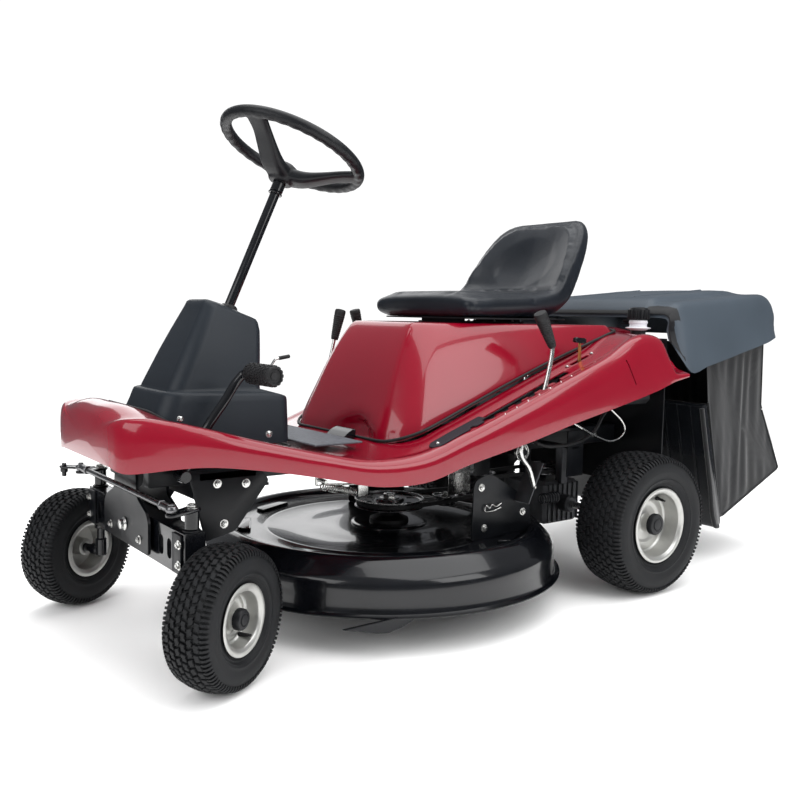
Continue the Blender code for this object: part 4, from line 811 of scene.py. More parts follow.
console = build("console_shell", console_shell(), "chassis", CONSOLE, ["console_cover"], sharp=50)
screws = []
for side in (1, -1):
    for y, z, half in ((-0.573, 0.494, 0.1185), (-0.37, 0.451, 0.1225)):
        screws.append(((side * (half - 0.0005), y, z), (side * (half + 0.01), y, z + 0.001)))
bolts("console_screws", screws, "chassis", STEEL, pan_screw)
dress(MAT, "footwell_mat")
print("console faces", len(console.data.polygons), "screws", len(screws))

# %% [markdown]
# The grey patch behind the console is a grit-faced sheet, so that a wet boot doesn't slip. Its grit
# is real relief: a fine grid whose points are lifted by noise, trimmed at the same edge as the mat.

# %% Grit on the step
def grit_sheet(half=0.196, front=-0.297, rear=-0.178, level=0.4311, columns=130, rows=40):
    bm = bmesh.new()
    grid = []
    for j in range(rows + 1):
        y = front + (rear - front) * j / rows
        grid.append([bm.verts.new((half * (2 * i / columns - 1), y, level + 0.0011 * max(0,
            noise.noise(Vector((i * 0.9, j * 0.9, 3.0)))))) for i in range(columns + 1)])
    for a, b in zip(grid, grid[1:]):
        for i in range(columns):
            bm.faces.new((a[i], a[i + 1], b[i + 1], b[i]))
    return carve(bm, None, wall=0.0006)


grit = build("footwell_grit", grit_sheet(), "chassis", MAT)
print("grit faces", len(grit.data.polygons))

# %% [markdown]
# ## The seat
# A mower seat is one moulded foam pad under vinyl, with a low back that wraps round the hips. The
# pad is drawn first as a lofted row of cross-sections from the front edge, along the pan and up the
# back. Then cloth pressure puffs its skin, as foam does, and the creases of the cover are pressed in.

# %% Sections of the pad
SEAT_LINE = [          # along: y and z of the pan's middle, thickness, half width, wing height
    (0.1275, 0.742, 0.038, 0.188, 0.0), (0.14, 0.743, 0.054, 0.203, 0.001),
    (0.18, 0.7425, 0.06, 0.208, 0.003), (0.25, 0.7405, 0.06, 0.2085, 0.007),
    (0.32, 0.739, 0.058, 0.2085, 0.012), (0.39, 0.74, 0.056, 0.208, 0.018),
    (0.45, 0.747, 0.058, 0.207, 0.028), (0.495, 0.772, 0.06, 0.205, 0.04),
    (0.522, 0.812, 0.058, 0.202, 0.044), (0.545, 0.86, 0.054, 0.196, 0.038),
    (0.568, 0.908, 0.05, 0.185, 0.03), (0.588, 0.95, 0.044, 0.166, 0.02),
    (0.602, 0.975, 0.036, 0.14, 0.01), (0.608, 0.986, 0.02, 0.115, 0.004)]


def seat_sections():
    line = smoothed(SEAT_LINE, 4)
    rows = []
    for k, (y, z, thick, half, wing) in enumerate(line):
        a, b = line[max(k - 1, 0)], line[min(k + 1, len(line) - 1)]
        run = Vector((0, b[0] - a[0], b[1] - a[1])).normalized()
        out = Vector((0, -run.z, run.y))
        if out.z < 0 and out.y > 0:
            out = -out
        row = []
        count = 44
        for i in range(count):
            t = tau * i / count
            c, s = cos(t), sin(t)
            across = half * copysign(abs(c) ** 0.42, c)
            lift = thick / 2 * copysign(abs(s) ** 0.62, s)
            rim = (abs(across) / half) ** 3.2
            lift += wing * rim * (1.0 if s > -0.2 else 0.55)
            row.append(Vector((across, y, z)) + out * lift)
        rows.append(row)
    return rows


def seat_pad():
    return carve(loft(seat_sections(), cap_start=True, cap_end=True), None, voxel=0.006, soften=3)


pad_work = seat_pad()
print("pad skin faces", len(pad_work.faces))

# %% [markdown]
# The cover is stretched over the foam by its own pressure. Cloth does this well: the skin swells a few
# millimetres, most where the foam is free and least at the rims. The move is capped, so the pad keeps
# its size, and the result is written into the mesh, so nothing is left to simulate.

# %% Puffing the cover
def puffed(bm, pressure=4.0, cap=0.006, frames=20):
    mesh = bpy.data.meshes.new("puff")
    bm.to_mesh(mesh)
    bm.free()
    ob = bpy.data.objects.new("puff", mesh)
    bpy.context.scene.collection.objects.link(ob)
    start = [v.co.copy() for v in mesh.vertices]
    cloth = ob.modifiers.new("cover", "CLOTH")
    cloth.settings.use_pressure = True
    cloth.settings.uniform_pressure_force = pressure
    cloth.settings.effector_weights.gravity = 0
    cloth.settings.quality = 5
    cloth.collision_settings.use_collision = False
    for step in range(1, frames + 1):
        bpy.context.scene.frame_set(step)
    swollen = ob.evaluated_get(bpy.context.evaluated_depsgraph_get()).to_mesh()
    ends = [v.co.copy() for v in swollen.vertices]
    ob.modifiers.clear()
    bpy.context.scene.frame_set(1)
    for vert, a, b in zip(mesh.vertices, start, ends):
        move = b - a
        if move.length > cap:
            move *= cap / move.length
        vert.co = a + move
    out = bmesh.new()
    out.from_mesh(mesh)
    bpy.data.objects.remove(ob)
    bpy.data.meshes.remove(mesh)
    return out


pad_work = puffed(pad_work)
print("pad puffed", len(pad_work.verts))

# %% Pressing in the creases
def groove(point, a, b, wide, deep):
    """How deep a crease along a-b presses in at a point."""
    line = b - a
    t = max(0.0, min(1.0, (point - a).dot(line) / line.length_squared))
    away = (point - (a + line * t)).length
    if away > wide * 2.2:
        return 0.0
    ends = min(1.0, 0.25 + 3.0 * min(t, 1 - t))
    return deep * ends * exp(-(away / wide) ** 2)


def seat_creases():
    lines = []
    bend = [(-0.115, 0.4475, 0.7845), (-0.055, 0.4575, 0.787), (0.0, 0.46, 0.788), (0.055, 0.4575, 0.787),
        (0.115, 0.4475, 0.7845)]
    for a, b in zip(bend, bend[1:]):
        lines.append((Vector(a), Vector(b), 0.0048, 0.0062))
    for side in (1, -1):
        for k in range(3):
            foot = Vector((side * (0.15 + 0.016 * k), 0.462 + 0.01 * k, 0.8 + 0.008 * k))
            head = foot + Vector((side * 0.038, 0.034, -0.012))
            lines.append((foot, head, 0.0042, 0.005))
        lines.append((Vector((side * 0.158, 0.318, 0.775)), Vector((side * 0.209, 0.356, 0.752)), 0.0045,
            0.0055))
    return lines


def creased(bm):
    bm.normal_update()
    lines = seat_creases()
    middle = Vector((0, 0.505, 0.868))
    for v in bm.verts:
        push = 0.0
        if v.normal.y < 0.75:
            push = max(groove(v.co, *line) for line in lines)
        local = v.co - middle
        hollow = (local.x / 0.12) ** 2 + (local.z / 0.075) ** 2
        if v.normal.y < -0.3 and hollow < 1:
            push += 0.01 * (1 - hollow) ** 1.3
        v.co -= v.normal * push
        v.co.z = max(v.co.z, 0.7121)
    return bm


seat = build("seat_cushion", creased(pad_work), "seat", VINYL, ["seat"], sharp=180)
finer = seat.modifiers.new("finer", "SUBSURF")
finer.levels = finer.render_levels = 1
print("seat faces", len(seat.data.polygons), "size", [round(v, 3) for v in seat.dimensions])

# %% [markdown]
# A vinyl cover is closed by a welt where top and bottom meet, a thin cord round the underside; the welt is
# not drawn here.
# The seat stands on a folded steel bracket, bolted to the hood, with the pivot bolts at its front.

# %% Bracket bolts and the base pan
def seat_base():
    plan = rounded_plan(0.186, 0.15, 0.5, 0.03, 0.03, 8)
    pan = plate(plan, "Z", 0.708, 0.7118, 0.0015)
    return pan


build("seat_base_pan", seat_base(), "seat", PLASTIC)
dress(SATIN, "seat_bracket")
feet = [((side * 0.076, y, 0.7005), (side * 0.076, y, 0.72)) for side in (1, -1) for y in (0.24, 0.33,
    0.395)]
bolts("seat_bracket_bolts", feet, "hood", STEEL, lambda: hexagon_bolt(0.0045, 0.0065, 0.003))

# %% [markdown]
# ## The grass bag's lid
# A hard plastic lid closes the bag and carries it on its hinge. It is a tray turned upside down: a
# raised middle panel with a bevelled edge, shoulders, and skirts that flare outward. The cross-section
# changes little along its length, so one loft does it, with the rear turned down round a corner.

# %% Moulding the lid
LID_STATIONS = [       # y, top, skirt's lower edge, half width of the top, panel height
    (0.784, 0.72, 0.66, 0.276, 0.0), (0.788, 0.733, 0.646, 0.28, 0.0), (0.8, 0.748, 0.61, 0.288, 0.004),
    (0.825, 0.762, 0.572, 0.292, 0.012), (0.9, 0.769, 0.586, 0.292, 0.014), (1.0, 0.778, 0.606, 0.292, 0.014),
    (1.1, 0.787, 0.627, 0.291, 0.014), (1.18, 0.794, 0.643, 0.29, 0.013), (1.225, 0.797, 0.652, 0.288, 0.006),
    (1.26, 0.795, 0.661, 0.285, 0.0), (1.278, 0.785, 0.665, 0.284, 0.0), (1.288, 0.764, 0.667, 0.286, 0.0),
    (1.2925, 0.72, 0.668, 0.289, 0.0), (1.2935, 0.68, 0.668, 0.292, 0.0)]


def lid_section(y, top, low, half, raised):
    fall = (top - low) / 0.19
    flare = half + 0.053 * min(1.0, fall)
    knee = top - 0.016 * min(1.0, fall)
    side = [(flare, low), (flare - 0.12 * (flare - half), low + 0.12 * (knee - low)),
        (flare - 0.4 * (flare - half), low + 0.5 * (knee - low)), (half + 0.012, knee - 0.01 * fall),
        (half + 0.004, knee + 0.006 * fall), (half - 0.008, top - 0.001), (half - 0.03, top),
        (half * 0.76, top + 0.0005), (half * 0.735, top + 0.001 + 0.1 * raised),
        (half * 0.675, top + raised), (half * 0.65, top + raised * 1.04),
        (half * 0.33, top + raised * 1.12)]
    left = [(x, y, z) for x, z in side]
    return left + [(0.0, y, top + raised * 1.18)] + [(-x, y, z) for x, y, z in reversed(left)]


def lid_shell():
    rows = [smoothed(lid_section(*s), 3) for s in smoothed(LID_STATIONS, 4)]
    return carve(loft(rows, ring=False, cap_end=True), None, wall=SHEET)


lid = build("bag_lid_shell", lid_shell(), "bag", LID, ["bag_lid"], sharp=50)
print("lid faces", len(lid.data.polygons))

# %% [markdown]
# A black trim strip closes the lid's front edge, where it meets the fender, and turns down with it.
# The strip follows the lid's own front section, a few millimetres proud. Two ribs stiffen the top.

# %% Trim, ribs and hinge straps
def front_trim():
    shell = []
    for y, out in ((0.7825, 0.0012), (0.7835, 0.0042), (0.8, 0.004), (0.812, 0.0034), (0.813, 0.0008)):
        t = (y - 0.784) / 0.04
        low_end = 0.648 - 0.07 * max(0.0, min(1.0, t))
        section = lid_section(y, 0.728 + 0.03 * max(0.0, min(1.0, t)) ** 0.6, low_end,
            0.279 + 0.012 * max(0.0, min(1.0, t)), 0.0)
        grown = smoothed(section, 3)
        shell.append([(x * (1 + out / 0.3), y, z + out) for x, y, z in grown])
    return carve(loft(shell, ring=False), None, wall=0.0012)


build("bag_lid_front_trim", front_trim(), "bag", PLASTIC)
ribs = []
for x in (-0.118, 0.118):
    line = [(x, y, 0.7775 + 0.0905 * (y - 0.85)) for y in (0.85, 0.9, 1.0, 1.1, 1.17)]
    ribs.append(swept(smoothed(line, 3), 0.0055, 10))
build("bag_lid_ribs", join(*ribs), "bag", LID)
straps = [join(block((x - 0.016, 0.776, 0.7), (x + 0.016, 0.8, 0.7035), 0.001),
    turned(softened([(0, -0.019), (0.0058, -0.019), (0.0058, 0.019), (0, 0.019)], 0.001), 20, "X",
    (x, 0.792, 0.71), solid=False)) for x in (-0.15, 0.15)]
build("bag_hinge_knuckles", join(*straps), "bag", SATIN)
print("trim and ribs on the lid")

# %% [markdown]
# ## The grass bag
# The bag is a mesh cloth hung from the lid and held in shape by a rod at its lower corner. It is a
# draped sheet: straight where the wires hold it, with fine upright folds between. Every point of a
# lofted shell is pushed in or out by a few running waves, which deepen away from the wires.

# %% Hanging the cloth
BAG_OUTLINE = [(0.948, 0.6), (0.964, 0.478), (1.048, 0.138), (1.06, 0.1335), (1.34, 0.249), (1.35, 0.256),
    (1.306, 0.334), (1.242, 0.443), (1.236, 0.46), (1.23, 0.644)]
BAG_HALF = 0.3065
MOUTH_Z = 0.479


def walk(outline, step):
    """Even steps along an outline, each with the distance walked."""
    points, gone = [], 0.0
    for a, b in zip(outline, outline[1:]):
        length = dist(a, b)
        count = max(1, round(length / step))
        points += [(*mix(a, b, k / count), gone + length * k / count) for k in range(count)]
        gone += length
    return points + [(*outline[-1], gone)]


def fold(across, height, seed):
    """Depth of the cloth's upright folds, in metres: several waves that never quite repeat."""
    soft = noise.noise(Vector((across * 7.0, height * 1.6, seed)))
    fine = 0.5 * sin(across * 150 + 4.0 * soft + height * 5.0)
    broad = 0.45 * sin(across * 58 + seed + height * 8.0)
    return 0.003 * (fine + 1.1 * soft + broad)


def belt_rows(bm, path, columns=90):
    """The strip that goes down the front, under the bottom and up the rear."""
    rows = []
    for k, (y, z, gone) in enumerate(path):
        a, b = path[max(k - 1, 0)], path[min(k + 1, len(path) - 1)]
        run = Vector((b[0] - a[0], b[1] - a[1])).normalized()
        row = []
        for i in range(columns + 1):
            u = 2 * i / columns - 1
            wave = fold(u * BAG_HALF, z, 2.0) * (1 - abs(u) ** 8)
            row.append(bm.verts.new((u * BAG_HALF, y + run.y * wave, z - run.x * wave)))
        rows.append(row)
    return rows


def bag_cloth():
    path = walk(softened(BAG_OUTLINE, 0.012, 3), 0.009)
    open_part = [p for p in path[:40] if p[1] > MOUTH_Z and p[0] < 1.0]
    lower = path[len(open_part):]
    bm = bmesh.new()
    rows = belt_rows(bm, lower)
    for a, b in zip(rows, rows[1:]):
        for i in range(len(a) - 1):
            bm.faces.new((a[i], a[i + 1], b[i + 1], b[i]))
    roof = [mix(path[-1][:2], path[0][:2], k / 30) for k in range(1, 30)]
    middle_yz = (1.14, 0.4)
    for sign, column in ((-1, 0), (1, -1)):
        free = [bm.verts.new((sign * BAG_HALF, p[0], p[1])) for p in open_part]
        above = [bm.verts.new((sign * BAG_HALF, *p)) for p in roof]
        rim = free + [row[column] for row in rows] + above
        rings = [rim]
        for share in (0.96, 0.9, 0.82, 0.72, 0.6, 0.48, 0.36, 0.24, 0.13, 0.05):
            ring = []
            for vert in rim:
                y, z = mix(middle_yz, (vert.co.y, vert.co.z), share)
                wave = fold(y, z, 7.0 + sign) * 1.5 * min(1.0, (1 - share) * 8)
                ring.append(bm.verts.new((sign * (BAG_HALF - 0.0035 * (1 - share) + wave), y, z)))
            rings.append(ring)
        for a, b in zip(rings, rings[1:]):
            for k in range(len(a)):
                n = (k + 1) % len(a)
                bm.faces.new((a[k], a[n], b[n], b[k]))
        bm.faces.new(rings[-1])
    return carve(bm, None, wall=0.0012)


CLOTH = finish("black_bag_mesh", "bag_cloth", (0.0055, 0.006, 0.0072), 0.78, tone=0.35, patch=18,
    grain=0.6, pitch=0.0014, wear=0.12, sheen=0.25, stretch=(1, 1, 0.35))
bag = build("bag_cloth", bag_cloth(), "bag", CLOTH, ["bag_fabric"], sharp=60)

# %% [markdown]
# The cloth's edges are bound with piping, and a steel rod keeps the lower rear corner square. The
# stiff front panel is a glossy moulding at the top; below, the cloth is wrapped round a long tube.

# %% Piping, rod and front panel
def side_run(side, inset, points, radius, sides=10):
    return swept([(side * (BAG_HALF + inset), y, z) for y, z in points], radius, sides)


piping = []
for side in (1, -1):
    lower_edge = softened(BAG_OUTLINE[1:8], 0.014, 4)
    piping.append(side_run(side, 0.0006, [p[:2] for p in walk(lower_edge, 0.02)], 0.003))
    rear_edge = walk([(1.242, 0.448), (1.236, 0.46), (1.23, 0.644)], 0.02)
    piping.append(side_run(side, 0.0006, [p[:2] for p in rear_edge], 0.0022, 8))
for y, z in ((1.0545, 0.133), (1.3495, 0.254)):
    piping.append(swept([(x * BAG_HALF / 10, y, z) for x in range(-10, 11)], 0.003, 10))
piping_ob = build("bag_piping", join(*piping), "bag", CLOTH)

panel_line = [(0.948, 0.474), (0.936, 0.474), (0.926, 0.466), (1.018, 0.112), (1.024, 0.103),
    (1.036, 0.1), (1.044, 0.11), (1.044, 0.128)]
build("bag_front_panel", plate(softened(panel_line, 0.006, 3, closed=True), "X", -0.3135, 0.3135, 0.0025),
    "bag", SHINY, ["bag_front_frame"])
flutes = [block((x - 0.004, -0.0015, 0.0), (x + 0.004, 0.0015, 0.29),
    0.0012) for x in [k * 0.045 for k in range(-6, 7)]]
lean = shift_to((0, 0.9965, 0.19)) @ Matrix.Rotation(atan2(0.092, 0.354), 4, "X")
build("bag_front_flutes", moved(join(*flutes), lean), "bag", SHINY)
edge_tubes = [swept([(side * 0.3115, y, z) for y,
    z in smoothed([(0.9285, 0.462), (0.96, 0.34), (0.99, 0.222), (1.0165, 0.12), (1.024, 0.108),
    (1.035, 0.106)], 4)], 0.0068, 14) for side in (1, -1)]
build("bag_edge_tubes", join(*edge_tubes), "bag", CLOTH)
handle = smoothed([(-0.075, 1.2945, 0.7), (-0.07, 1.312, 0.702), (-0.04, 1.319, 0.703),
    (0.04, 1.319, 0.703), (0.07, 1.312, 0.702), (0.075, 1.2945, 0.7)], 5)
build("bag_lift_handle", swept(handle, 0.0065, 14), "bag", PLASTIC)
print("bag sewn")

# %% [markdown]
# ## Turf tyres
# A turf tyre has a round carcass, fine ribs on the shoulder and chunky zig-zag blocks that grip wet
# grass without cutting it. The carcass is turned. Each block is a small bent prism, laid on the
# crown by wrapping its flat outline round the tyre, so the tread's shadow comes from real depth.

# %% Carcass of a tyre
FRONT_R, FRONT_W, FRONT_RIM = 0.14, 0.1, 0.062
REAR_R, REAR_W, REAR_RIM = 0.184, 0.148, 0.091
FRONT_TRACK, REAR_TRACK = 0.681, 0.717
FRONT_Y, REAR_Y = -HALF_BASE, HALF_BASE
KINGPIN_X = FRONT_TRACK / 2 - 0.078
TREAD = 0.0052


def crown(h, radius, half):
    """Outer radius of the tread at a distance h from the tyre's middle."""
    return radius - 0.0055 * abs(h / (0.7 * half)) ** 2.2


def carcass(radius, width, rim, sides=120):
    half, deep = width / 2, radius - rim
    wall = [(rim + 0.0008, 0.76), (rim + 0.006, 0.772), (rim + 0.011, 0.79), (rim + 0.0125, 0.815),
        (rim + 0.016, 0.822), (rim + deep * 0.26, 0.925), (rim + deep * 0.3, 0.945),
        (rim + deep * 0.31, 0.962), (rim + deep * 0.345, 0.962), (rim + deep * 0.355, 0.955),
        (rim + deep * 0.5, 0.988), (rim + deep * 0.6, 0.99), (rim + deep * 0.7, 0.975),
        (radius - 0.016, 0.905), (radius - TREAD - 0.0055, 0.72), (radius - TREAD - 0.0015, 0.4),
        (radius - TREAD, 0.0)]
    line = smoothed([(r, h * half) for r, h in wall], 2)
    return turned(line + [(r, -h) for r, h in line[-2::-1]], sides)


def wrapped(outline, radius, half, depth):
    """A tread block: its outline is (round, across) in metres, wrapped on the crown."""
    rows = []
    middle_round = sum(p[0] for p in outline) / len(outline)
    middle_across = sum(p[1] for p in outline) / len(outline)
    for level, share in ((-0.002, 1.1), (depth * 0.8, 1.0), (depth, 0.86)):
        row = []
        for u, h in outline:
            u, h = middle_round + (u - middle_round) * share, middle_across + (h - middle_across) * share
            r = crown(h, radius, half) - depth + level
            a = u / radius
            row.append((r * cos(a), r * sin(a), h))
        rows.append(row)
    return loft(rows, cap_start=True, cap_end=True)


def tread_blocks(radius, width, columns, count):
    """Rows of zig-zag blocks, each column half a pitch on from the last, as one mesh of one pitch."""
    half = width / 2
    pitch = tau * radius / count
    across = 1.52 * half / columns
    parts = []
    for c in range(columns):
        middle_h = (c - (columns - 1) / 2) * across
        shift = pitch * 0.5 * (c % 2)
        lean = across * 0.3 * (1 if c % 2 else -1)
        long, wide = pitch * 0.36, across * 0.43
        outline = [(-long, -wide), (-long * 0.25, -wide - lean * 0.1), (long * 0.35, -wide * 0.55),
            (long, -wide * 0.75), (long, wide * 0.85), (long * 0.3, wide), (-long * 0.3, wide * 0.6),
            (-long, wide * 0.8)]
        outline = [(shift + u + lean * h / wide * 0.5, middle_h + h) for u, h in outline]
        parts.append(wrapped(outline, radius, half, TREAD))
    for side in (1, -1):
        for k in range(2):
            u = pitch * (0.25 + 0.5 * k)
            r0, r1 = radius - 0.02, radius - 0.0085
            lug = []
            for r, h in ((r0, 0.945), (r0 + 0.006, 0.935), (r1, 0.845), (r1 + 0.0015, 0.785)):
                a0, a1 = (u - pitch * 0.12) / radius, (u + pitch * 0.12) / radius
                z = side * half * h
                lug.append([(r * cos(a0), r * sin(a0), z - side * 0.004),
                    (r * cos(a0), r * sin(a0), z + side * 0.0022),
                    (r * cos(a1), r * sin(a1), z + side * 0.0022),
                    (r * cos(a1), r * sin(a1), z - side * 0.004)])
            parts.append(loft(lug, cap_start=True, cap_end=True))
    one = join(*parts)
    bmesh.ops.recalc_face_normals(one, faces=one.faces)
    mesh = bpy.data.meshes.new("pitch")
    one.to_mesh(mesh)
    one.free()
    ring = bmesh.new()
    for k in range(count):
        mesh.transform(Matrix.Rotation(tau / count, 4, "Z"))
        ring.from_mesh(mesh)
    bpy.data.meshes.remove(mesh)
    return ring


print("front tyre ratio", round(FRONT_W / FRONT_R, 2), "rear", round(REAR_W / REAR_R, 2))

# %% [markdown]
# ## Wheels
# Each rim is two pressed halves: a deep dish, a barrel and a rolled lip that holds the bead. A short
# hub tube is welded through, a black cap closes it, and a rubber valve stem stands in the dish.
# The front pair stands turned to the left, as it was parked, so both are set about their kingpins.

# %% Turning rims and setting wheels
def rim_shape(rim, width, outward):
    half = width / 2
    face = 0.18 * half
    dish = [(0.0101, 0.55 * half), (0.019, 0.55 * half), (0.02, 0.5 * half), (0.0205, face + 0.01),
        (0.024, face + 0.004), (rim * 0.5, face + 0.0015), (rim * 0.6, face + 0.004),
        (rim * 0.68, face + 0.0035), (rim - 0.016, face + 0.001), (rim - 0.0115, face + 0.006),
        (rim - 0.0095, 0.68 * half), (rim - 0.0085, 0.8 * half), (rim - 0.002, 0.875 * half),
        (rim + 0.003, 0.89 * half), (rim + 0.0068, 0.88 * half), (rim + 0.0075, 0.855 * half),
        (rim + 0.0055, 0.835 * half), (rim + 0.001, 0.825 * half), (rim - 0.003, 0.78 * half),
        (rim - 0.005, 0.4 * half), (rim - 0.005, -0.4 * half), (rim - 0.003, -0.78 * half),
        (rim + 0.001, -0.825 * half), (rim + 0.0055, -0.835 * half), (rim + 0.007, -0.87 * half),
        (rim - 0.002, -0.875 * half), (rim - 0.009, -0.8 * half), (rim - 0.01, face - 0.004),
        (0.021, face - 0.0035), (0.02, -0.52 * half), (0.019, -0.55 * half), (0.0101, -0.55 * half)]
    return turned([(r, h * outward) for r, h in softened(dish, 0.0016, 2, closed=True)], 88)


def cap_shape(rim, width, outward):
    near = 0.55 * width / 2 + 0.0004
    big = 0.24 * rim + 0.006
    line = [(0, near), (big, near), (big, near + 0.0105), (big - 0.0028, near + 0.0142),
        (big * 0.62, near + 0.015), (big * 0.58, near + 0.0138), (big * 0.52, near + 0.0138),
        (big * 0.48, near + 0.016), (big * 0.3, near + 0.0166), (0, near + 0.0168)]
    return turned([(r, h * outward) for r, h in line], 44, solid=False)


def valve(rim, width, outward):
    face = 0.18 * width / 2 + 0.003
    foot = Vector((rim * 0.8, 0, face * outward))
    line = [foot, foot + Vector((-0.0006, 0, 0.01 * outward)),
        foot + Vector((-0.0022, 0, 0.021 * outward))]
    return join(swept(line, 0.0042, 12, taper=[1.25, 0.95, 0.8]),
        swept([line[-1], line[-1] + Vector((-0.001, 0, 0.007 * outward))], 0.0026, 10))


def wheel(name, body, centre, radius, width, rim, outward, columns, count, turn=0.0, roll=0.0):
    pivot = Vector((copysign(KINGPIN_X, centre[0]), FRONT_Y, 0))
    place = shift_to(centre) @ AXIS_TURN["X"] @ Matrix.Rotation(roll, 4, "Z")
    if turn:
        place = shift_to(pivot) @ Matrix.Rotation(turn, 4, "Z") @ shift_to(-pivot) @ place
    tyre = join(carcass(radius, width, rim), tread_blocks(radius, width, columns, count))
    build("tyre_tread_" + name, moved(tyre, place), body, TYRE, ["tyre_" + name], sharp=30, outward=False)
    build("wheel_rim_" + name, moved(rim_shape(rim, width, outward), place), body, SILVER,
        ["rim_" + name])
    build("wheel_cap_" + name, moved(cap_shape(rim, width, outward), place), body, PLASTIC,
        ["hub_cap_" + name])
    build("tyre_valve_" + name, moved(valve(rim, width, outward), place), body, RUBBER)


STEER_LEFT, STEER_RIGHT = radians(29.0), radians(25.6)
wheel("front_left", "wheel_front_left", (FRONT_TRACK / 2, FRONT_Y, FRONT_R), FRONT_R, FRONT_W, FRONT_RIM,
    1, 6, 44, STEER_LEFT, 0.6)
wheel("front_right", "wheel_front_right", (-FRONT_TRACK / 2, FRONT_Y, FRONT_R), FRONT_R, FRONT_W,
    FRONT_RIM, -1, 6, 44, STEER_RIGHT, 2.2)
wheel("rear_left", "wheel_rear_left", (REAR_TRACK / 2, REAR_Y, REAR_R), REAR_R, REAR_W, REAR_RIM, 1, 8,
    50, 0.0, 2.5)
wheel("rear_right", "wheel_rear_right", (-REAR_TRACK / 2, REAR_Y, REAR_R), REAR_R, REAR_W, REAR_RIM, -1,
    8, 50, 0.0, 1.1)
dress(STEEL, "axle_shaft_left", "axle_shaft_right")
print("wheels", 4, "blocks on a rear tyre", 6 * 38)

# %% [markdown]
# ## Steering wheel and column
# The wheel is a soft moulding over a steel ring: a thick rim with finger grips behind, a flat boss
# and two broad spokes that rise to the rim. Its parts are drawn roughly and fused into one skin by
# remeshing, then smoothed, which gives the flowing joints of a real moulding.

# %% Moulding the wheel
TILT = radians(24)
WHEEL_MIDDLE = Vector((0.0, -0.247, 1.087))
WHEEL_R, TUBE_R, DISH = 0.163, 0.0138, 0.062


def wheel_frame():
    """Stands a mesh made level round the origin on the tilted column."""
    return shift_to(WHEEL_MIDDLE) @ Matrix.Rotation(-TILT, 4, "X")


def rim_tube():
    rows = []
    for k in range(144):
        a = tau * k / 144
        grip = 1 + 0.055 * cos(36 * a)
        row = []
        for i in range(20):
            b = tau * i / 20
            back = max(0.0, -sin(b)) * (grip - 1)
            r = TUBE_R * (1 + back)
            row.append(((WHEEL_R + r * cos(b)) * cos(a), (WHEEL_R + r * cos(b)) * sin(a),
                r * sin(b) * 0.98))
        rows.append(row)
    return loft(rows + [rows[0]])


def spoke(angle):
    line = smoothed([(0.012, -DISH - 0.001, 0.03, 0.034), (0.05, -DISH + 0.006, 0.029, 0.03),
        (0.09, -DISH + 0.026, 0.026, 0.022), (0.125, -DISH + 0.045, 0.024, 0.018),
        (0.16, -0.004, 0.027, 0.018)], 4)
    rows = []
    for reach, z, half, thick in line:
        row = []
        for i in range(20):
            t = tau * i / 20
            c, s = cos(t), sin(t)
            row.append((reach, half * copysign(abs(c) ** 0.55, c),
                z + thick / 2 * copysign(abs(s) ** 0.7, s)))
        rows.append(row)
    return moved(loft(rows, cap_start=True, cap_end=True), Matrix.Rotation(angle, 4, "Z"))


def boss():
    line = [(0, -DISH - 0.021), (0.026, -DISH - 0.021), (0.031, -DISH - 0.014), (0.035, -DISH + 0.002),
        (0.034, -DISH + 0.016), (0.028, -DISH + 0.022), (0.01, -DISH + 0.024), (0, -DISH + 0.024)]
    return turned(softened(line, 0.004), 44, solid=False)


def steering_wheel():
    parts = join(rim_tube(), boss(), spoke(radians(-64)), spoke(radians(55)))
    return moved(carve(parts, None, voxel=0.0021, soften=5), wheel_frame())


wheel_ob = build("steering_wheel_moulding", steering_wheel(), "steering", PLASTIC, ["steering_wheel"],
    sharp=180)
badge = turned(softened([(0, -DISH + 0.0236), (0.02, -DISH + 0.0236), (0.019, -DISH + 0.0262),
    (0.006, -DISH + 0.0272), (0, -DISH + 0.0272)], 0.0008), 40, solid=False)
build("steering_wheel_cap", moved(badge, wheel_frame()), "steering", SHINY)
print("steering wheel faces", len(wheel_ob.data.polygons))

# %% Column and collar
def column_point(down):
    return wheel_frame() @ Vector((0, 0, -DISH - down))


column_parts = [bar(column_point(0.006), (0, -0.5646, 0.373), 0.0112, 36),
    bar(column_point(0.018), column_point(0.046), 0.015, 36, 0.003),
    bar(column_point(0.046), column_point(0.05), 0.0165, 36, 0.001)]
build("steering_column", join(*column_parts), "steering", GLOSS, ["steering_shaft"])
collar = turned(softened([(0.0125, 0.0), (0.021, 0.0), (0.019, 0.006), (0.015, 0.01), (0.0125, 0.01)],
    0.001), 36)
build("column_bush", moved(collar, shift_to((0, -0.4085, 0.7205)) @ Matrix.Rotation(-TILT * 0.6, 4, "X")),
    "chassis", RUBBER)
print("column length", round((column_point(0.006) - Vector((0, -0.5646, 0.373))).length, 3))

# %% [markdown]
# ## Front axle
# The axle is a folded steel beam that rocks on a centre pin, with bushed ends for the kingpins. Each
# knuckle is a forging: kingpin, stub axle and a steering arm on top. A rod with ball ends ties the
# arms, so both wheels turn together. Edges are broken and bolts have washers, as on a real axle.

# %% Beam with its bolts
BEAM_LOW, BEAM_HIGH, BEAM_HALF, BEAM_DEEP = 0.209, 0.295, KINGPIN_X + 0.016, 0.044


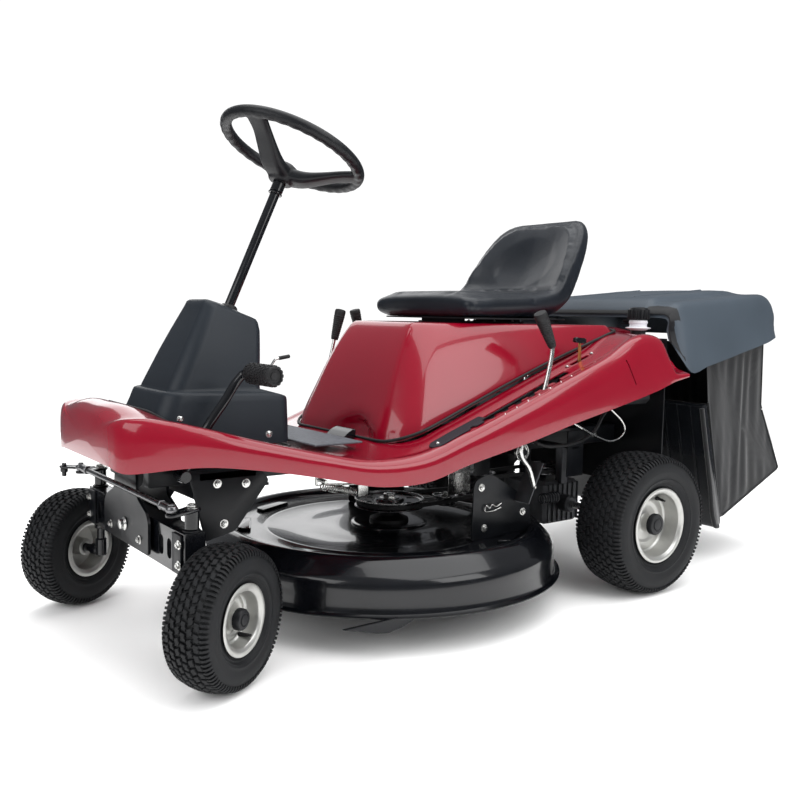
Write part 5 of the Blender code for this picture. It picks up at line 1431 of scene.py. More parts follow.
def beam():
    half = BEAM_DEEP / 2
    face = [(-BEAM_HALF, BEAM_LOW), (BEAM_HALF, BEAM_LOW), (BEAM_HALF, BEAM_HIGH),
        (-BEAM_HALF, BEAM_HIGH)]
    body = plate(face, "Y", FRONT_Y - half, FRONT_Y + half, 0.0035, 3)
    holes = [moved(turned([(0, -0.1), (0.0104, -0.1), (0.0104, 0.1), (0, 0.1)], 32, solid=False),
        shift_to((side * KINGPIN_X, FRONT_Y, 0.25))) for side in (1, -1)]
    holes.append(moved(turned([(0, -0.1), (0.0089, -0.1), (0.0089, 0.1), (0, 0.1)], 32, "Y", solid=False),
        shift_to((0, FRONT_Y, 0.262))))
    for x in (-0.205, -0.165, 0.165, 0.205):
        holes.append(plate([(px + x, pz + 0.252) for px,
            pz in rounded_plan(0.011, -0.02, 0.02, 0.01, 0.01, 5)], "Y", FRONT_Y - half - 0.01,
            FRONT_Y - half + 0.006))
    return carve(body, join(*holes))


build("axle_beam", beam(), "front_axle", GLOSS, ["front_axle_beam"], sharp=30)
front_face = FRONT_Y - BEAM_DEEP / 2
ends = []
for side in (1, -1):
    x0, x1 = sorted((side * 0.228, side * (BEAM_HALF - 0.01)))
    ends.append(block((x0, front_face - 0.0045, BEAM_LOW + 0.004),
        (x1, front_face - 0.0004, BEAM_HIGH - 0.004), 0.0015))
    for z, r in ((BEAM_HIGH + 0.0005, 0.0175), (BEAM_LOW - 0.0035, 0.0165)):
        ring = turned(softened([(0.0112, 0), (r, 0), (r, 0.003), (0.0112, 0.003)], 0.0006), 40)
        ends.append(moved(ring, shift_to((side * KINGPIN_X, FRONT_Y, z))))
build("axle_end_plates", join(*ends), "front_axle", SATIN)
bolts("axle_bolts",
    [((x, front_face - 0.0044, z), (x, front_face - 0.02, z)) for x in (-0.262, 0.262) for z in (0.232,
    0.272)] + [((x, front_face - 0.0004, 0.226), (x, front_face - 0.02, 0.226)) for x in (-0.085, 0.085)],
    "front_axle")
print("axle width", round(2 * BEAM_HALF, 3))

# %% Knuckles, steering arms and tie rod
ARM_LOW, ARM_THICK, ARM_LENGTH, HORN = 0.335, 0.006, 0.06, 0.092


def hull_of(points):
    pts = sorted(set(points))

    def half(sequence):
        out = []
        for p in sequence:
            while len(out) > 1 and ((out[-1][0] - out[-2][0]) * (p[1] - out[-2][1]) - (out[-1][1]
                    - out[-2][1]) * (p[0] - out[-2][0])) <= 1e-12:
                out.pop()
            out.append(p)
        return out[:-1]
    return half(pts) + half(pts[::-1])


def about_kingpin(side, angle):
    pin = Vector((side * KINGPIN_X, FRONT_Y, 0))
    return shift_to(pin) @ Matrix.Rotation(angle, 4, "Z") @ shift_to(-pin)


def knuckle(side, angle):
    x, foot = side * KINGPIN_X, FRONT_R
    parts = [bar((x, FRONT_Y, foot - 0.01), (x, FRONT_Y, ARM_LOW + 0.004), 0.0095, 32),
        bar((x - side * 0.011, FRONT_Y, foot), (x + side * 0.102, FRONT_Y, foot), 0.0092, 32, 0.002),
        bar((x, FRONT_Y, BEAM_LOW - 0.0145), (x, FRONT_Y, BEAM_LOW - 0.0045), 0.015, 36, 0.0015),
        bar((x, FRONT_Y, foot - 0.013), (x, FRONT_Y, foot + 0.03), 0.0135, 36, 0.003),
        bar((x + side * 0.008, FRONT_Y, foot), (x + side * 0.03, FRONT_Y, foot), 0.013, 36, 0.003),
        bar((x, FRONT_Y, BEAM_HIGH + 0.0045), (x, FRONT_Y, ARM_LOW + 0.001), 0.014, 36, 0.0015),
        plate(hull_of(ring_of(0.017, 28, x, FRONT_Y) + ring_of(0.012, 24, x, FRONT_Y - ARM_LENGTH)), "Z",
        ARM_LOW, ARM_LOW + ARM_THICK, 0.0012)]
    if side < 0:
        aim = radians(-134.5) - STEER_RIGHT
        tip = (x + HORN * cos(aim), FRONT_Y + HORN * sin(aim))
        parts.append(plate(hull_of(ring_of(0.016, 28, x, FRONT_Y) + ring_of(0.011, 24, *tip)), "Z",
            ARM_LOW + 0.0004, ARM_LOW + ARM_THICK - 0.0004, 0.001))
        parts.append(bar((*tip, ARM_LOW - 0.02), (*tip, ARM_LOW + 0.012), 0.0055, 24))
        parts.append(bar((*tip, ARM_LOW - 0.01), (*tip, ARM_LOW - 0.001), 0.009, 24))
    return moved(join(*parts), about_kingpin(side, angle))


for name, side, angle in (("left", 1, STEER_LEFT), ("right", -1, STEER_RIGHT)):
    build("knuckle_forging_" + name, knuckle(side, angle), "knuckle_" + name, GLOSS, ["knuckle_" + name],
        sharp=30)
    top = about_kingpin(side, angle) @ Vector((side * KINGPIN_X, FRONT_Y, ARM_LOW + ARM_THICK))
    bolts("kingpin_nut_" + name, [(top, top + Vector((0, 0, 1)))], "knuckle_" + name, STEEL,
        lambda: hexagon_bolt(0.0095, 0.0135, 0.006))


def arm_end(side, angle):
    return about_kingpin(side,
        angle) @ Vector((side * KINGPIN_X, FRONT_Y - ARM_LENGTH, ARM_LOW + ARM_THICK + 0.008))


left_end, right_end = arm_end(1, STEER_LEFT), arm_end(-1, STEER_RIGHT)
run = (right_end - left_end).normalized()
rod_parts = [bar(left_end + run * 0.01, right_end - run * 0.01, 0.006, 28)]
for end, way in ((left_end, run), (right_end, -run)):
    rod_parts += [bar(end + way * 0.006, end + way * 0.044, 0.0085, 28, 0.002),
        bar(end + way * 0.044, end + way * 0.05, 0.01, 6)]
    rod_parts.append(moved(turned(softened([(0, -0.0064), (0.01, -0.0064), (0.012, 0.0), (0.0095, 0.0065),
        (0, 0.0065)], 0.002), 32, solid=False), shift_to(end)))
    rod_parts.append(bar(end + Vector((0, 0, 0.006)), end + Vector((0, 0, 0.011)), 0.0062, 6))
build("tie_rod_and_ends", join(*rod_parts), "tie_rod", TURNED, ["tie_rod"])
print("tie rod between ball ends", round((right_end - left_end).length, 3))

# %% [markdown]
# ## Cutting deck
# The deck is one deep-drawn steel dish, painted gloss black. A turned profile gives the rolled lip,
# the straight skirt, the shoulder and the raised ring; the outlet at the rear right is cut from it.
# The stamped step at the front and the welded brackets are separate pressings, as on the real one.

# %% Drawing the deck shell
DECK_Y, DECK_R, DECK_LOW, DECK_TOP = 0.02, 0.445, 0.085, 0.2
FLOOR = DECK_TOP - 0.022


def deck_shell():
    outer = [(DECK_R + 0.0148, DECK_LOW - 0.001), (DECK_R + 0.015, DECK_LOW + 0.001),
        (DECK_R + 0.008, DECK_LOW + 0.002), (DECK_R + 0.003, DECK_LOW + 0.005),
        (DECK_R, DECK_LOW + 0.014), (DECK_R, 0.125), (DECK_R - 0.0005, 0.148), (DECK_R - 0.004, 0.158),
        (DECK_R - 0.012, 0.1665), (DECK_R - 0.026, 0.18), (DECK_R - 0.038, 0.1925),
        (DECK_R - 0.046, 0.1985), (DECK_R - 0.054, 0.1998), (DECK_R - 0.062, 0.1975),
        (DECK_R - 0.068, 0.19), (DECK_R - 0.073, 0.181), (DECK_R - 0.08, FLOOR), (0.3, FLOOR),
        (0.296, FLOOR + 0.0018), (0.286, FLOOR + 0.0018), (0.282, FLOOR), (0.18, FLOOR),
        (0.165, FLOOR + 0.0022), (0.11, FLOOR + 0.0022), (0.06, FLOOR + 0.001)]
    bm = turned(outer, 160, centre=(0, DECK_Y, 0), solid=False)
    cutters = join(block((-0.259, DECK_Y + 0.335, 0.13), (-0.131, 0.6, 0.22), 0.004),
        moved(turned([(0, 0), (0.0185, 0), (0.0185, 0.3), (0, 0.3)], 32, solid=False),
        shift_to((0, 0.05, 0.05))))
    return carve(bm, cutters, wall=SHEET)


deck = build("deck_shell_pressing", deck_shell(), "deck", GLOSS, ["deck_shell"], sharp=40)
mount = turned(softened([(0.019, FLOOR - 0.001), (0.098, FLOOR - 0.001), (0.098, FLOOR + 0.0045),
    (0.09, FLOOR + 0.006), (0.019, FLOOR + 0.006)], 0.0012), 72, centre=(0, 0.05, 0))
step = [(-0.06, 0.0), (0.06, 0.0), (0.052, 0.026), (0.036, 0.034), (-0.036, 0.034), (-0.052, 0.026)]
pads = []
for angle in (-62, -118, 32, 148, 205):
    a = radians(angle)
    at = shift_to((0, DECK_Y, 0)) @ Matrix.Rotation(a, 4, "Z") @ shift_to((DECK_R - 0.118, 0, FLOOR))
    pads.append(moved(plate([(v, u) for u, v in softened(step, 0.006, 3, closed=True)], "Z", -0.001,
        0.0075, 0.003), at))
build("deck_stampings", join(mount, *pads), "deck", GLOSS)
print("deck faces", len(deck.data.polygons))

# %% Brackets, skid and clevis pins
FLANK = [(0.1, 0.178), (0.3, 0.178), (0.292, 0.245), (0.24, 0.29), (0.165, 0.333), (0.148, 0.336),
    (0.112, 0.326), (0.105, 0.31)]
fittings = []
for side in (1, -1):
    x0, x1 = sorted((side * 0.262, side * 0.266))
    fittings.append(plate(softened(FLANK, 0.01, 3, closed=True), "X", x0, x1, 0.001))
    x0, x1 = sorted((side * 0.24, side * 0.266))
    fittings.append(block((x0, 0.105, FLOOR - 0.0004), (x1, 0.296, FLOOR + 0.0036), 0.0012))
skid_line = [(-0.35, 0.087), (-0.15, 0.087), (-0.176, 0.072), (-0.2, 0.064), (-0.235, 0.0585),
    (-0.262, 0.063)]
fittings.append(plate(softened(skid_line, 0.006, 3, closed=True), "X", 0.3875, 0.3925, 0.0012))
build("deck_brackets", join(*fittings), "deck", SATIN)
pins = []
for side in (1, -1):
    for y, z in ((0.128, 0.306), (0.268, 0.232), (0.14, 0.205)):
        pins.append(((side * 0.2658, y, z), (side * 0.29, y, z)))
bolts("deck_bracket_bolts", pins, "deck")
clip = smoothed([(0.2705, 0.19, 0.262), (0.2705, 0.172, 0.256), (0.2705, 0.16, 0.262),
    (0.2705, 0.152, 0.254), (0.2705, 0.142, 0.262), (0.2705, 0.136, 0.25), (0.2705, 0.16, 0.246),
    (0.2705, 0.19, 0.252)], 6)
build("deck_hairpin_clip", swept(clip, 0.0015, 10), "deck", STEEL)
dress(CAST, "spindle_housing")
dress(TURNED, "mower_blade", "blade_spindle")
print("deck fittings", len(fittings))

# %% [markdown]
# ## Belts and pulleys
# Engine, blade and rear axle are joined by V-belts. A pulley is two pressed dishes riveted back to
# back, so it is turned with a sharp groove, a stepped web and lightening holes near the hub.

# %% Turning the pulleys
PULLEY_Z, DRIVE_Z, GROOVE, BELT = 0.233, 0.272, 0.012, 0.01
SPINDLE_Y, CRANK_Y = 0.05, 0.36


def pulley(radius, grooves, low, high, bore, web=0.0):
    """Profile of a pulley: V grooves outside, a recessed web on top."""
    outer = []
    for z in grooves:
        half = BELT / 2 + 0.0012
        outer += [(radius, z - half - 0.0022), (radius - 0.0006, z - half - 0.0012),
            (radius - GROOVE, z - half * 0.75), (radius - GROOVE, z + half * 0.75),
            (radius - 0.0006, z + half + 0.0012), (radius, z + half + 0.0022)]
    top = [(radius, high), (radius - 0.0035, high), (radius - 0.005, high - web),
        (bore + 0.026, high - web), (bore + 0.022, high), (bore, high)]
    if not web:
        top = [(radius, high), (bore, high)]
    return turned([(bore, low), (radius, low)] + outer + top, 84)


def with_holes(bm, ring, radius, count, low, high):
    holes = [moved(turned([(0, low), (radius, low), (radius, high), (0, high)], 24, solid=False),
        shift_to((ring * cos(a), ring * sin(a),
        0))) for a in [tau * k / count + 0.4 for k in range(count)]]
    return carve(bm, join(*holes))


big = with_holes(pulley(0.09, (PULLEY_Z,), PULLEY_Z - 0.01, PULLEY_Z + 0.01, 0.0133, 0.006), 0.06, 0.0085,
    6, 0.2, 0.3)
build("spindle_pulley_turned", moved(big, shift_to((0, SPINDLE_Y, 0))), "blade", TURNED,
    ["spindle_pulley"], sharp=30)
small = pulley(0.045, (PULLEY_Z, DRIVE_Z), PULLEY_Z - 0.01, DRIVE_Z + 0.01, 0.0122, 0.003)
build("engine_pulley_turned", moved(small, shift_to((0, CRANK_Y, 0))), "crank", TURNED, ["engine_pulley"],
    sharp=30)
axle_drive = pulley(0.06, (DRIVE_Z,), DRIVE_Z - 0.01, DRIVE_Z + 0.01, 0.0112, 0.004)
build("transaxle_pulley_turned", moved(axle_drive, shift_to((0, REAR_Y, 0))), "drive", TURNED,
    ["transaxle_pulley"], sharp=30)
idler = turned(softened([(0.006, 0.217), (0.0215, 0.217), (0.0215, 0.2385), (0.0225, 0.2398),
    (0.034, 0.2402), (0.034, 0.243), (0.029, 0.243), (0.027, 0.2412), (0.012, 0.2412), (0.011, 0.243),
    (0.006, 0.243)], 0.0004), 64)
build("idler_turned", moved(idler, shift_to((0.05, 0.197, 0))), "deck", TURNED, ["idler_pulley"],
    sharp=30)
trim_rings = [moved(turned(softened([(r - 0.003, h), (r + 0.0004, h), (r + 0.0004, h + 0.0016),
    (r - 0.003, h + 0.0016)], 0.0005, closed=True), 84), shift_to((x, y, 0))) for x, y, r,
    h in ((0, SPINDLE_Y, 0.0895, PULLEY_Z + 0.0098), (0.05, 0.197, 0.0335, 0.2426))]
build("spindle_pulley_rim", trim_rings[0], "blade", STEEL)
build("idler_rim", trim_rings[1], "deck", STEEL)
bolts("spindle_nut", [((0, SPINDLE_Y, PULLEY_Z + 0.0102), (0, SPINDLE_Y, 1))], "blade", STEEL,
    lambda: join(hexagon_bolt(0.0165, 0.026, 0.01)))
bolts("idler_nut", [((0.05, 0.197, PULLEY_Z + 0.0102), (0.05, 0.197, 1))], "deck", STEEL,
    lambda: hexagon_bolt(0.008, 0.0125, 0.0065))
dress(RUBBER, "blade_belt", "drive_belt")
print("pulleys", 4)

# %% [markdown]
# ## Frame, engine and what hangs below
# Under the body sit two frame rails with cross plates, the engine and transaxle, and the lift
# hardware: springs, rods and brackets. They are mostly black, so bright screws, rods and springs are
# what an eye picks out. Springs are swept helices, with their hooked ends left on.

# %% Springs, rods and brackets
dress(ALLOY, "engine", "transaxle")
dress(PLASTIC, "battery", "rear_plate", "discharge_chute", "fuel_tank")
dress(RUBBER, "fuel_hose")
dress(STEEL, "throttle_cable")


def spring(start, end, radius, wire, turns, hooks=True):
    a, b = Vector(start), Vector(end)
    axis = (b - a).normalized()
    u = axis.orthogonal().normalized()
    v = axis.cross(u)
    margin = radius * 1.6 if hooks else 0.0
    a2, b2 = a + axis * margin, b - axis * margin
    path = []
    steps = turns * 14
    for k in range(steps + 1):
        t = tau * k / 14
        path.append(a2 + (b2 - a2) * (k / steps) + (u * cos(t) + v * sin(t)) * radius)
    if hooks:
        path = [a, a + axis * margin * 0.6 + u * radius * 0.5] + path + [b - axis * margin * 0.6 + u
            * radius * 0.5, b]
    return swept(path, wire, 8)


build("lift_spring_coils", spring((0.285, 0.31, 0.262), (0.285, 0.372, 0.262), 0.012, 0.0022, 7, False),
    "chassis", SATIN, ["lift_spring"])
bright_springs = [spring((0.104, -0.236, 0.32), (0.104, -0.112, 0.29), 0.0085, 0.0016, 16),
    spring((-0.09, 0.24, 0.33), (-0.09, 0.33, 0.33), 0.007, 0.0014, 14)]
build("tension_springs", join(*bright_springs), "chassis", STEEL)
rods = [swept(smoothed([(0.14, -0.255, 0.352), (0.15, -0.12, 0.348), (0.158, 0.06, 0.345),
    (0.15, 0.09, 0.352)], 5), 0.0032, 12),
    swept(smoothed([(0.148, -0.24, 0.33), (0.15, -0.14, 0.322), (0.152, -0.05, 0.316),
    (0.14, -0.035, 0.3545)], 5), 0.0028, 12),
    bar((0.118, -0.238, 0.336), (0.15, -0.238, 0.336), 0.005, 20),
    bar((0.1155, -0.112, 0.29), (0.104, -0.112, 0.36), 0.0032, 16),
    bar((0.104, -0.236, 0.32), (0.104, -0.236, 0.356), 0.0032, 16)]
build("linkage_rods", join(*rods), "chassis", STEEL)
stay = [block((0.1155, 0.15, 0.258), (0.1185, 0.222, 0.356), 0.001),
    block((0.1185, 0.15, 0.318), (0.138, 0.222, 0.321), 0.001),
    block((0.1155, -0.128, 0.285), (0.1185, -0.1, 0.356), 0.001)]
build("spring_stays", join(*stay), "chassis", STEEL)
hangers = [block((-0.118, 0.15, 0.3), (-0.115, 0.19, 0.356), 0.001),
    block((0.1155, 0.235, 0.3), (0.1185, 0.29, 0.356), 0.001),
    block((0.06, -0.42, 0.348), (0.17, -0.395, 0.3545), 0.001)]
build("frame_hangers", join(*hangers), "chassis", SATIN)
print("springs", 3, "rods", len(rods))

# %% Frame rails, front plates and side plates
RAIL_X, RAIL_LOW, RAIL_HIGH = 0.1, 0.355, 0.405
FRONT_PLATE, BACK_PLATE = FRONT_Y - 0.03, FRONT_Y + 0.03


def frame_steel():
    parts = []
    for side in (1, -1):
        x0, x1 = sorted((side * (RAIL_X - 0.015), side * (RAIL_X + 0.015)))
        parts.append(block((x0, -0.64, RAIL_LOW), (x1, 0.79, RAIL_HIGH), 0.004, 3))
        x0, x1 = sorted((side * 0.175, side * 0.18))
        flank = [(-0.585, 0.398), (-0.425, 0.392), (-0.4, 0.362), (-0.478, 0.262), (-0.545, 0.247)]
        parts.append(plate(softened(flank, 0.006, 3, closed=True), "X", x0, x1, 0.0012))
        x0, x1 = sorted((side * 0.113, side * 0.18))
        parts.append(block((x0, -0.56, 0.372), (x1, -0.43, 0.39), 0.002))
    face = [(-0.13, 0.221), (0.13, 0.221), (0.13, 0.288), (0.118, 0.306), (0.066, 0.33), (0.06, 0.403),
        (-0.06, 0.403), (-0.066, 0.33), (-0.118, 0.306), (-0.13, 0.288)]
    face = softened(face, 0.008, 4, closed=True)
    parts.append(plate(face, "Y", FRONT_PLATE - 0.006, FRONT_PLATE, 0.0012))
    parts.append(plate(face, "Y", BACK_PLATE, BACK_PLATE + 0.006, 0.0012))
    parts += [block((-0.13, FRONT_PLATE - 0.006, 0.397), (0.13, BACK_PLATE + 0.006, 0.4065), 0.002),
        block((-0.15, 0.15, 0.403), (0.15, 0.56, 0.4125), 0.002),
        block((-0.13, -0.3, 0.365), (0.13, -0.27, 0.395), 0.003),
        block((-RAIL_X, 0.74, 0.36), (RAIL_X, 0.77, 0.4), 0.003),
        block((0.02, -0.56, 0.33), (0.165, -0.5, 0.396), 0.006),
        block((-0.165, -0.56, 0.34), (-0.02, -0.5, 0.396), 0.006)]
    parts.append(swept(smoothed([(0.15, -0.54, 0.36), (0.16, -0.5, 0.352), (0.166, -0.455, 0.33),
        (0.15, -0.43, 0.322)], 6), 0.0085, 16))
    return join(*parts)


build("frame_weldment", frame_steel(), "chassis", SATIN, ["chassis_frame"], sharp=30)
ring = turned(softened([(0.009, -0.004), (0.0235, -0.004), (0.0235, 0.004), (0.019, 0.004),
    (0.018, 0.0005), (0.012, 0.0005), (0.011, 0.005), (0.009, 0.005)], 0.0008, closed=True), 56, "X",
    (0.2, 0.325, 0.368))
build("guide_pulley", ring, "chassis", STEEL)
build("guide_pulley_stay", join(block((0.1155, 0.31, 0.36), (0.201, 0.34, 0.366), 0.001),
    bar((0.186, 0.325, 0.368), (0.212, 0.325, 0.368), 0.0085, 24)), "chassis", SATIN)
print("frame and guide pulley")

# %% Frame bolts, spacer plates and the rear crossbar
frame_bolts = []
for x in (-0.085, 0.085):
    for z in (0.245, 0.385):
        frame_bolts.append(((x * (1 if z < 0.3 else 0.45), FRONT_Y - 0.0362, z),
            (x * (1 if z < 0.3 else 0.45), FRONT_Y - 0.06, z)))
for side in (1, -1):
    for y in (-0.56, -0.15, 0.12, 0.45, 0.7):
        frame_bolts.append(((side * 0.1152, y, 0.38), (side * 0.14, y, 0.38)))
    for y, z in ((-0.52, 0.365), (-0.455, 0.36), (-0.505, 0.28)):
        frame_bolts.append(((side * 0.1801, y, z), (side * 0.2, y, z)))
bolts("frame_bolts", frame_bolts, "chassis")
pin = turned(softened([(0, 0), (0.015, 0), (0.015, 0.0024), (0.0105, 0.005), (0.0105, 0.012), (0, 0.013)],
    0.0012), 36, solid=False)
build("axle_pin_head", moved(pin, along((0, FRONT_Y - 0.0366, 0.262), (0, -1, 0.262))), "chassis", STEEL)
crossbar = join(bar((-0.262, 0.3905, 0.342), (-0.118, 0.3905, 0.342), 0.0085, 24),
    block((0.248, 0.44, 0.3), (0.252, 0.5, 0.42), 0.001),
    block((0.1155, 0.455, 0.372), (0.252, 0.485, 0.378), 0.001))
build("lift_cross_shaft", crossbar, "chassis", SATIN)
print("frame bolts", len(frame_bolts))

# %% Engine details
fins = []
for k in range(7):
    z = 0.44 + 0.013 * k
    fins.append(block((-0.066, 0.141, z), (0.066, 0.244, z + 0.004), 0.0015))
fins.append(bar((0.0, 0.14, 0.484), (0.0, 0.112, 0.484), 0.0105, 24))
build("engine_fins", join(*fins), "chassis", ALLOY)
slats = []
for k in range(18):
    a = tau * k / 18
    slats.append(moved(block((0.03, -0.0022, 0.6344), (0.098, 0.0022, 0.6392), 0.001),
        Matrix.Rotation(a, 4, "Z")))
cage = join(*slats, turned([(0.026, 0.6344), (0.033, 0.6344), (0.033, 0.6405), (0.026, 0.6405)], 40),
    turned([(0.095, 0.6344), (0.103, 0.6344), (0.103, 0.6398), (0.095, 0.6398)], 60),
    turned([(0, 0.6344), (0.02, 0.6344), (0.018, 0.6415), (0, 0.6425)], 36, solid=False))
build("engine_fan_cage", moved(cage, shift_to((0, CRANK_Y + 0.005, 0))), "chassis", PLASTIC)
posts = [bar((x, 0.5, 0.5554), (x, 0.5, 0.5664), 0.006, 24) for x in (-0.2, -0.147)]
build("battery_posts", join(*posts), "chassis", STEEL)
ribs = [block((-0.084, REAR_Y - 0.06 + 0.02 * k, 0.13), (0.084, REAR_Y - 0.056 + 0.02 * k, 0.24),
    0.0015) for k in range(7)]
hubs = [bar((side * 0.079, REAR_Y, REAR_R), (side * 0.118, REAR_Y, REAR_R), 0.024, 36,
    0.004) for side in (1, -1)]
build("transaxle_ribs", join(*ribs, *hubs), "chassis", ALLOY)
print("engine dressed")

# %% [markdown]
# ## Pedal and footwell lever
# The drive pedal is a bent tube with a ribbed rubber roller. The roller's grip is rows of small raised
# bars round a cylinder, and its end shows a ring with four curved slots. The parking latch is a wire
# with a dipped black tip.

# %% Pedal
PEDAL_X = 0.17
pedal_path = smoothed([(PEDAL_X, -0.59, 0.385), (PEDAL_X, -0.539, 0.479), (PEDAL_X, -0.498, 0.534),
    (PEDAL_X, -0.468, 0.576), (PEDAL_X + 0.005, -0.458, 0.588), (PEDAL_X + 0.03, -0.456, 0.591)], 8)
pedal_parts = [swept(pedal_path, 0.0095, 24),
    bar((PEDAL_X - 0.02, -0.59, 0.385), (PEDAL_X + 0.016, -0.59, 0.385), 0.013, 28, 0.002)]
build("pedal_tube", join(*pedal_parts), "pedal", GLOSS, ["pedal_arm"])


def pedal_roller():
    low, high, radius = PEDAL_X + 0.0315, 0.302, 0.0205
    core = [(0.0098, low), (radius - 0.002, low), (radius, low + 0.003), (radius, high - 0.004),
        (radius - 0.002, high), (0.015, high), (0.0145, high - 0.0025), (0.0085, high - 0.0025),
        (0.008, high - 0.0008), (0, high - 0.0008)]
    parts = [turned([(r, h - low) for r, h in core], 60, solid=False)]
    for ring in range(9):
        for k in range(14):
            a = tau * (k + 0.5 * (ring % 2)) / 14
            bead = block((-0.003, radius - 0.0012, 0.005 + ring * 0.0105),
                (0.003, radius + 0.0016, 0.0128 + ring * 0.0105), 0.0008)
            parts.append(moved(bead, Matrix.Rotation(a, 4, "Z")))
    for k in range(4):
        a = tau * k / 4 + 0.4
        arc = [((0.017) * cos(a + 0.1 * i), 0.017 * sin(a + 0.1 * i),
            high - low + 0.0002) for i in range(9)]
        parts.append(swept(arc, 0.0014, 8))
    return moved(join(*parts), shift_to((low, -0.456, 0.591)) @ AXIS_TURN["X"])


build("pedal_roller", pedal_roller(), "pedal", RUBBER, ["pedal_pad"], sharp=30)
latch_wire = smoothed([(0.0, -0.335, 0.56), (0.0, -0.312, 0.578), (0.0, -0.296, 0.596),
    (0.0, -0.288, 0.606), (0.0, -0.278, 0.609), (0.0, -0.26, 0.6118)], 5)
build("brake_latch_wire", swept(latch_wire, 0.003, 12), "brake_latch", STEEL, ["brake_latch"])
build("brake_latch_tip", bar((0.0, -0.279, 0.6085), (0.0, -0.25, 0.613), 0.0046, 18), "brake_latch",
    RUBBER)
print("pedal roller ribs", 9 * 14)

# %% [markdown]
# ## Levers
# Each hand lever is a zinc-plated rod with a conical rubber grip. The grips have shallow rings, and
# widen towards the hand. The height lever stands in a notched slot, with a sliding cover plate in
# front of it; the throttle is a flat brass blade with a T-shaped knob.

# %% Grips and rods
def grip(start, end, thin, thick, rings=11):
    length = (Vector(end) - Vector(start)).length
    line = [(0, 0), (thin * 0.9, 0), (thin, 0.002)]
    for k in range(rings):
        t = 0.08 + 0.72 * k / rings
        r = thin + (thick - thin) * t / 0.85
        line += [(r, length * t), (r + 0.0009, length * (t + 0.012)), (r + 0.0009, length * (t + 0.034)),
            (r, length * (t + 0.046))]
    line += [(thick, length * 0.86), (thick, length * 0.94), (thick * 0.9, length * 0.985),
        (thick * 0.55, length), (0, length)]
    return moved(turned(line, 36, solid=False), along(start, end))


lever_path = smoothed([(LEVER_X, 0.309, 0.647), (LEVER_X, 0.308, 0.632), (LEVER_X, 0.297, 0.58),
    (LEVER_X, 0.262, 0.48), (LEVER_X, 0.212, 0.392), (LEVER_X, 0.216, 0.38), (LEVER_X, 0.24, 0.352),
    (LEVER_X, 0.262, 0.3)], 6)
lever_path = [(LEVER_X, 0.304, 0.655)] + lever_path
build("height_lever_rod", swept(lever_path, 0.006, 18), "height_lever", STEEL, ["height_lever"])
build("height_lever_grip", grip((LEVER_X, 0.3085, 0.644), (LEVER_X, 0.26, 0.727), 0.01, 0.0165),
    "height_lever", RUBBER, ["height_grip"])
bracket = plate(softened([(0.238, 0.262), (0.268, 0.252), (0.314, 0.338), (0.284, 0.36)], 0.006, 3,
    closed=True), "X", LEVER_X - 0.046, LEVER_X - 0.042, 0.0008)
fold_top = plate(softened([(0.2375, 0.264), (0.2405, 0.262), (0.2865, 0.358), (0.2835, 0.36)], 0.0008, 2,
    closed=True), "X", LEVER_X - 0.045, LEVER_X + 0.006, 0.0006)
build("lift_bracket_folded", join(bracket, fold_top), "height_lever", ALLOY)
bolts("lift_bracket_bolt", [((LEVER_X - 0.042, 0.27, 0.3), (LEVER_X, 0.27, 0.3))], "height_lever")
for name, low, high, body in (("shift", (-0.262, -0.028, 0.345), (-0.262, 0.063, 0.726), "shift"),
        ("clutch", (-0.28, 0.215, 0.4), (-0.28, 0.121, 0.727), "clutch")):
    foot, head = Vector(low), Vector(high)
    joint = foot.lerp(head, 0.78)
    build(name + "_rod", bar(foot, joint.lerp(head, 0.2), 0.0046, 20), body, STEEL, [name + "_lever"])
    build(name + "_grip", grip(joint, head, 0.0098, 0.0152), body, RUBBER)
    eye = turned(softened([(0.006, -0.005), (0.011, -0.005), (0.011, 0.005), (0.006, 0.005)], 0.001,
        closed=True), 28, "X", low)
    build(name + "_pivot_eye", eye, body, SATIN)
print("levers", 4)

# %% Height gate, cover plate and position marks
GATE_SLOPE = atan2(0.607 - 0.463, 0.368 + 0.058)


def shoulder_at(x, y):
    hit = frame_ray.ray_cast(Vector((x, y + MID_Y, 1.2)), Vector((0, 0, -1)))
    return hit[0].z


skin = bmesh.new()
skin.from_mesh(tub.data)
frame_ray = BVHTree.FromBMesh(skin)
skin.free()


def draped_plate(outline, y0, thick, lift):
    """A thin plate bent to the body below it: its outline is (across, along)."""
    bm = plate(outline, "Z", 0, thick)
    bmesh.ops.triangulate(bm, faces=[f for f in bm.faces if len(f.verts) > 4])
    for v in bm.verts:
        y = y0 + v.co.y
        base = shoulder_at(LEVER_X - 0.012, y) if not 0.1 < y < 0.375 else shoulder_at(LEVER_X - 0.013, y)
        v.co = Vector((LEVER_X + v.co.x, y, base + lift + v.co.z))
    return bm


cover = [(-0.02, 0.014), (-0.0185, 0.004), (-0.01, -0.006), (0.0, -0.009), (0.01, -0.006),
    (0.0175, 0.003), (0.02, 0.014), (0.0205, 0.06), (0.0205, 0.09), (0.012, 0.094), (0.012, 0.104),
    (0.0205, 0.108), (0.021, 0.13), (0.008, 0.133), (0.008, 0.146), (-0.018, 0.146), (-0.019, 0.12),
    (-0.0195, 0.06)]
build("height_cover_plate", draped_plate(softened(cover, 0.0015, 2, closed=True), -0.058, 0.0022, 0.0012),
    "chassis", CONSOLE, ["height_gate"], sharp=30)
bolts("cover_pin", [((LEVER_X, -0.047, shoulder_at(LEVER_X, -0.047) + 0.003), (LEVER_X, -0.047, 1))],
    "chassis", STEEL, lambda: pan_screw(0.0045))
liner = []
for k in range(30):
    y = 0.085 + 0.0105 * k
    liner.append([(x, y, shoulder_at(LEVER_X - 0.014, y) - 0.013) for x in (LEVER_X - 0.02,
        LEVER_X - 0.0095)])
left_strip = carve(loft(liner, ring=False), None, wall=0.002)
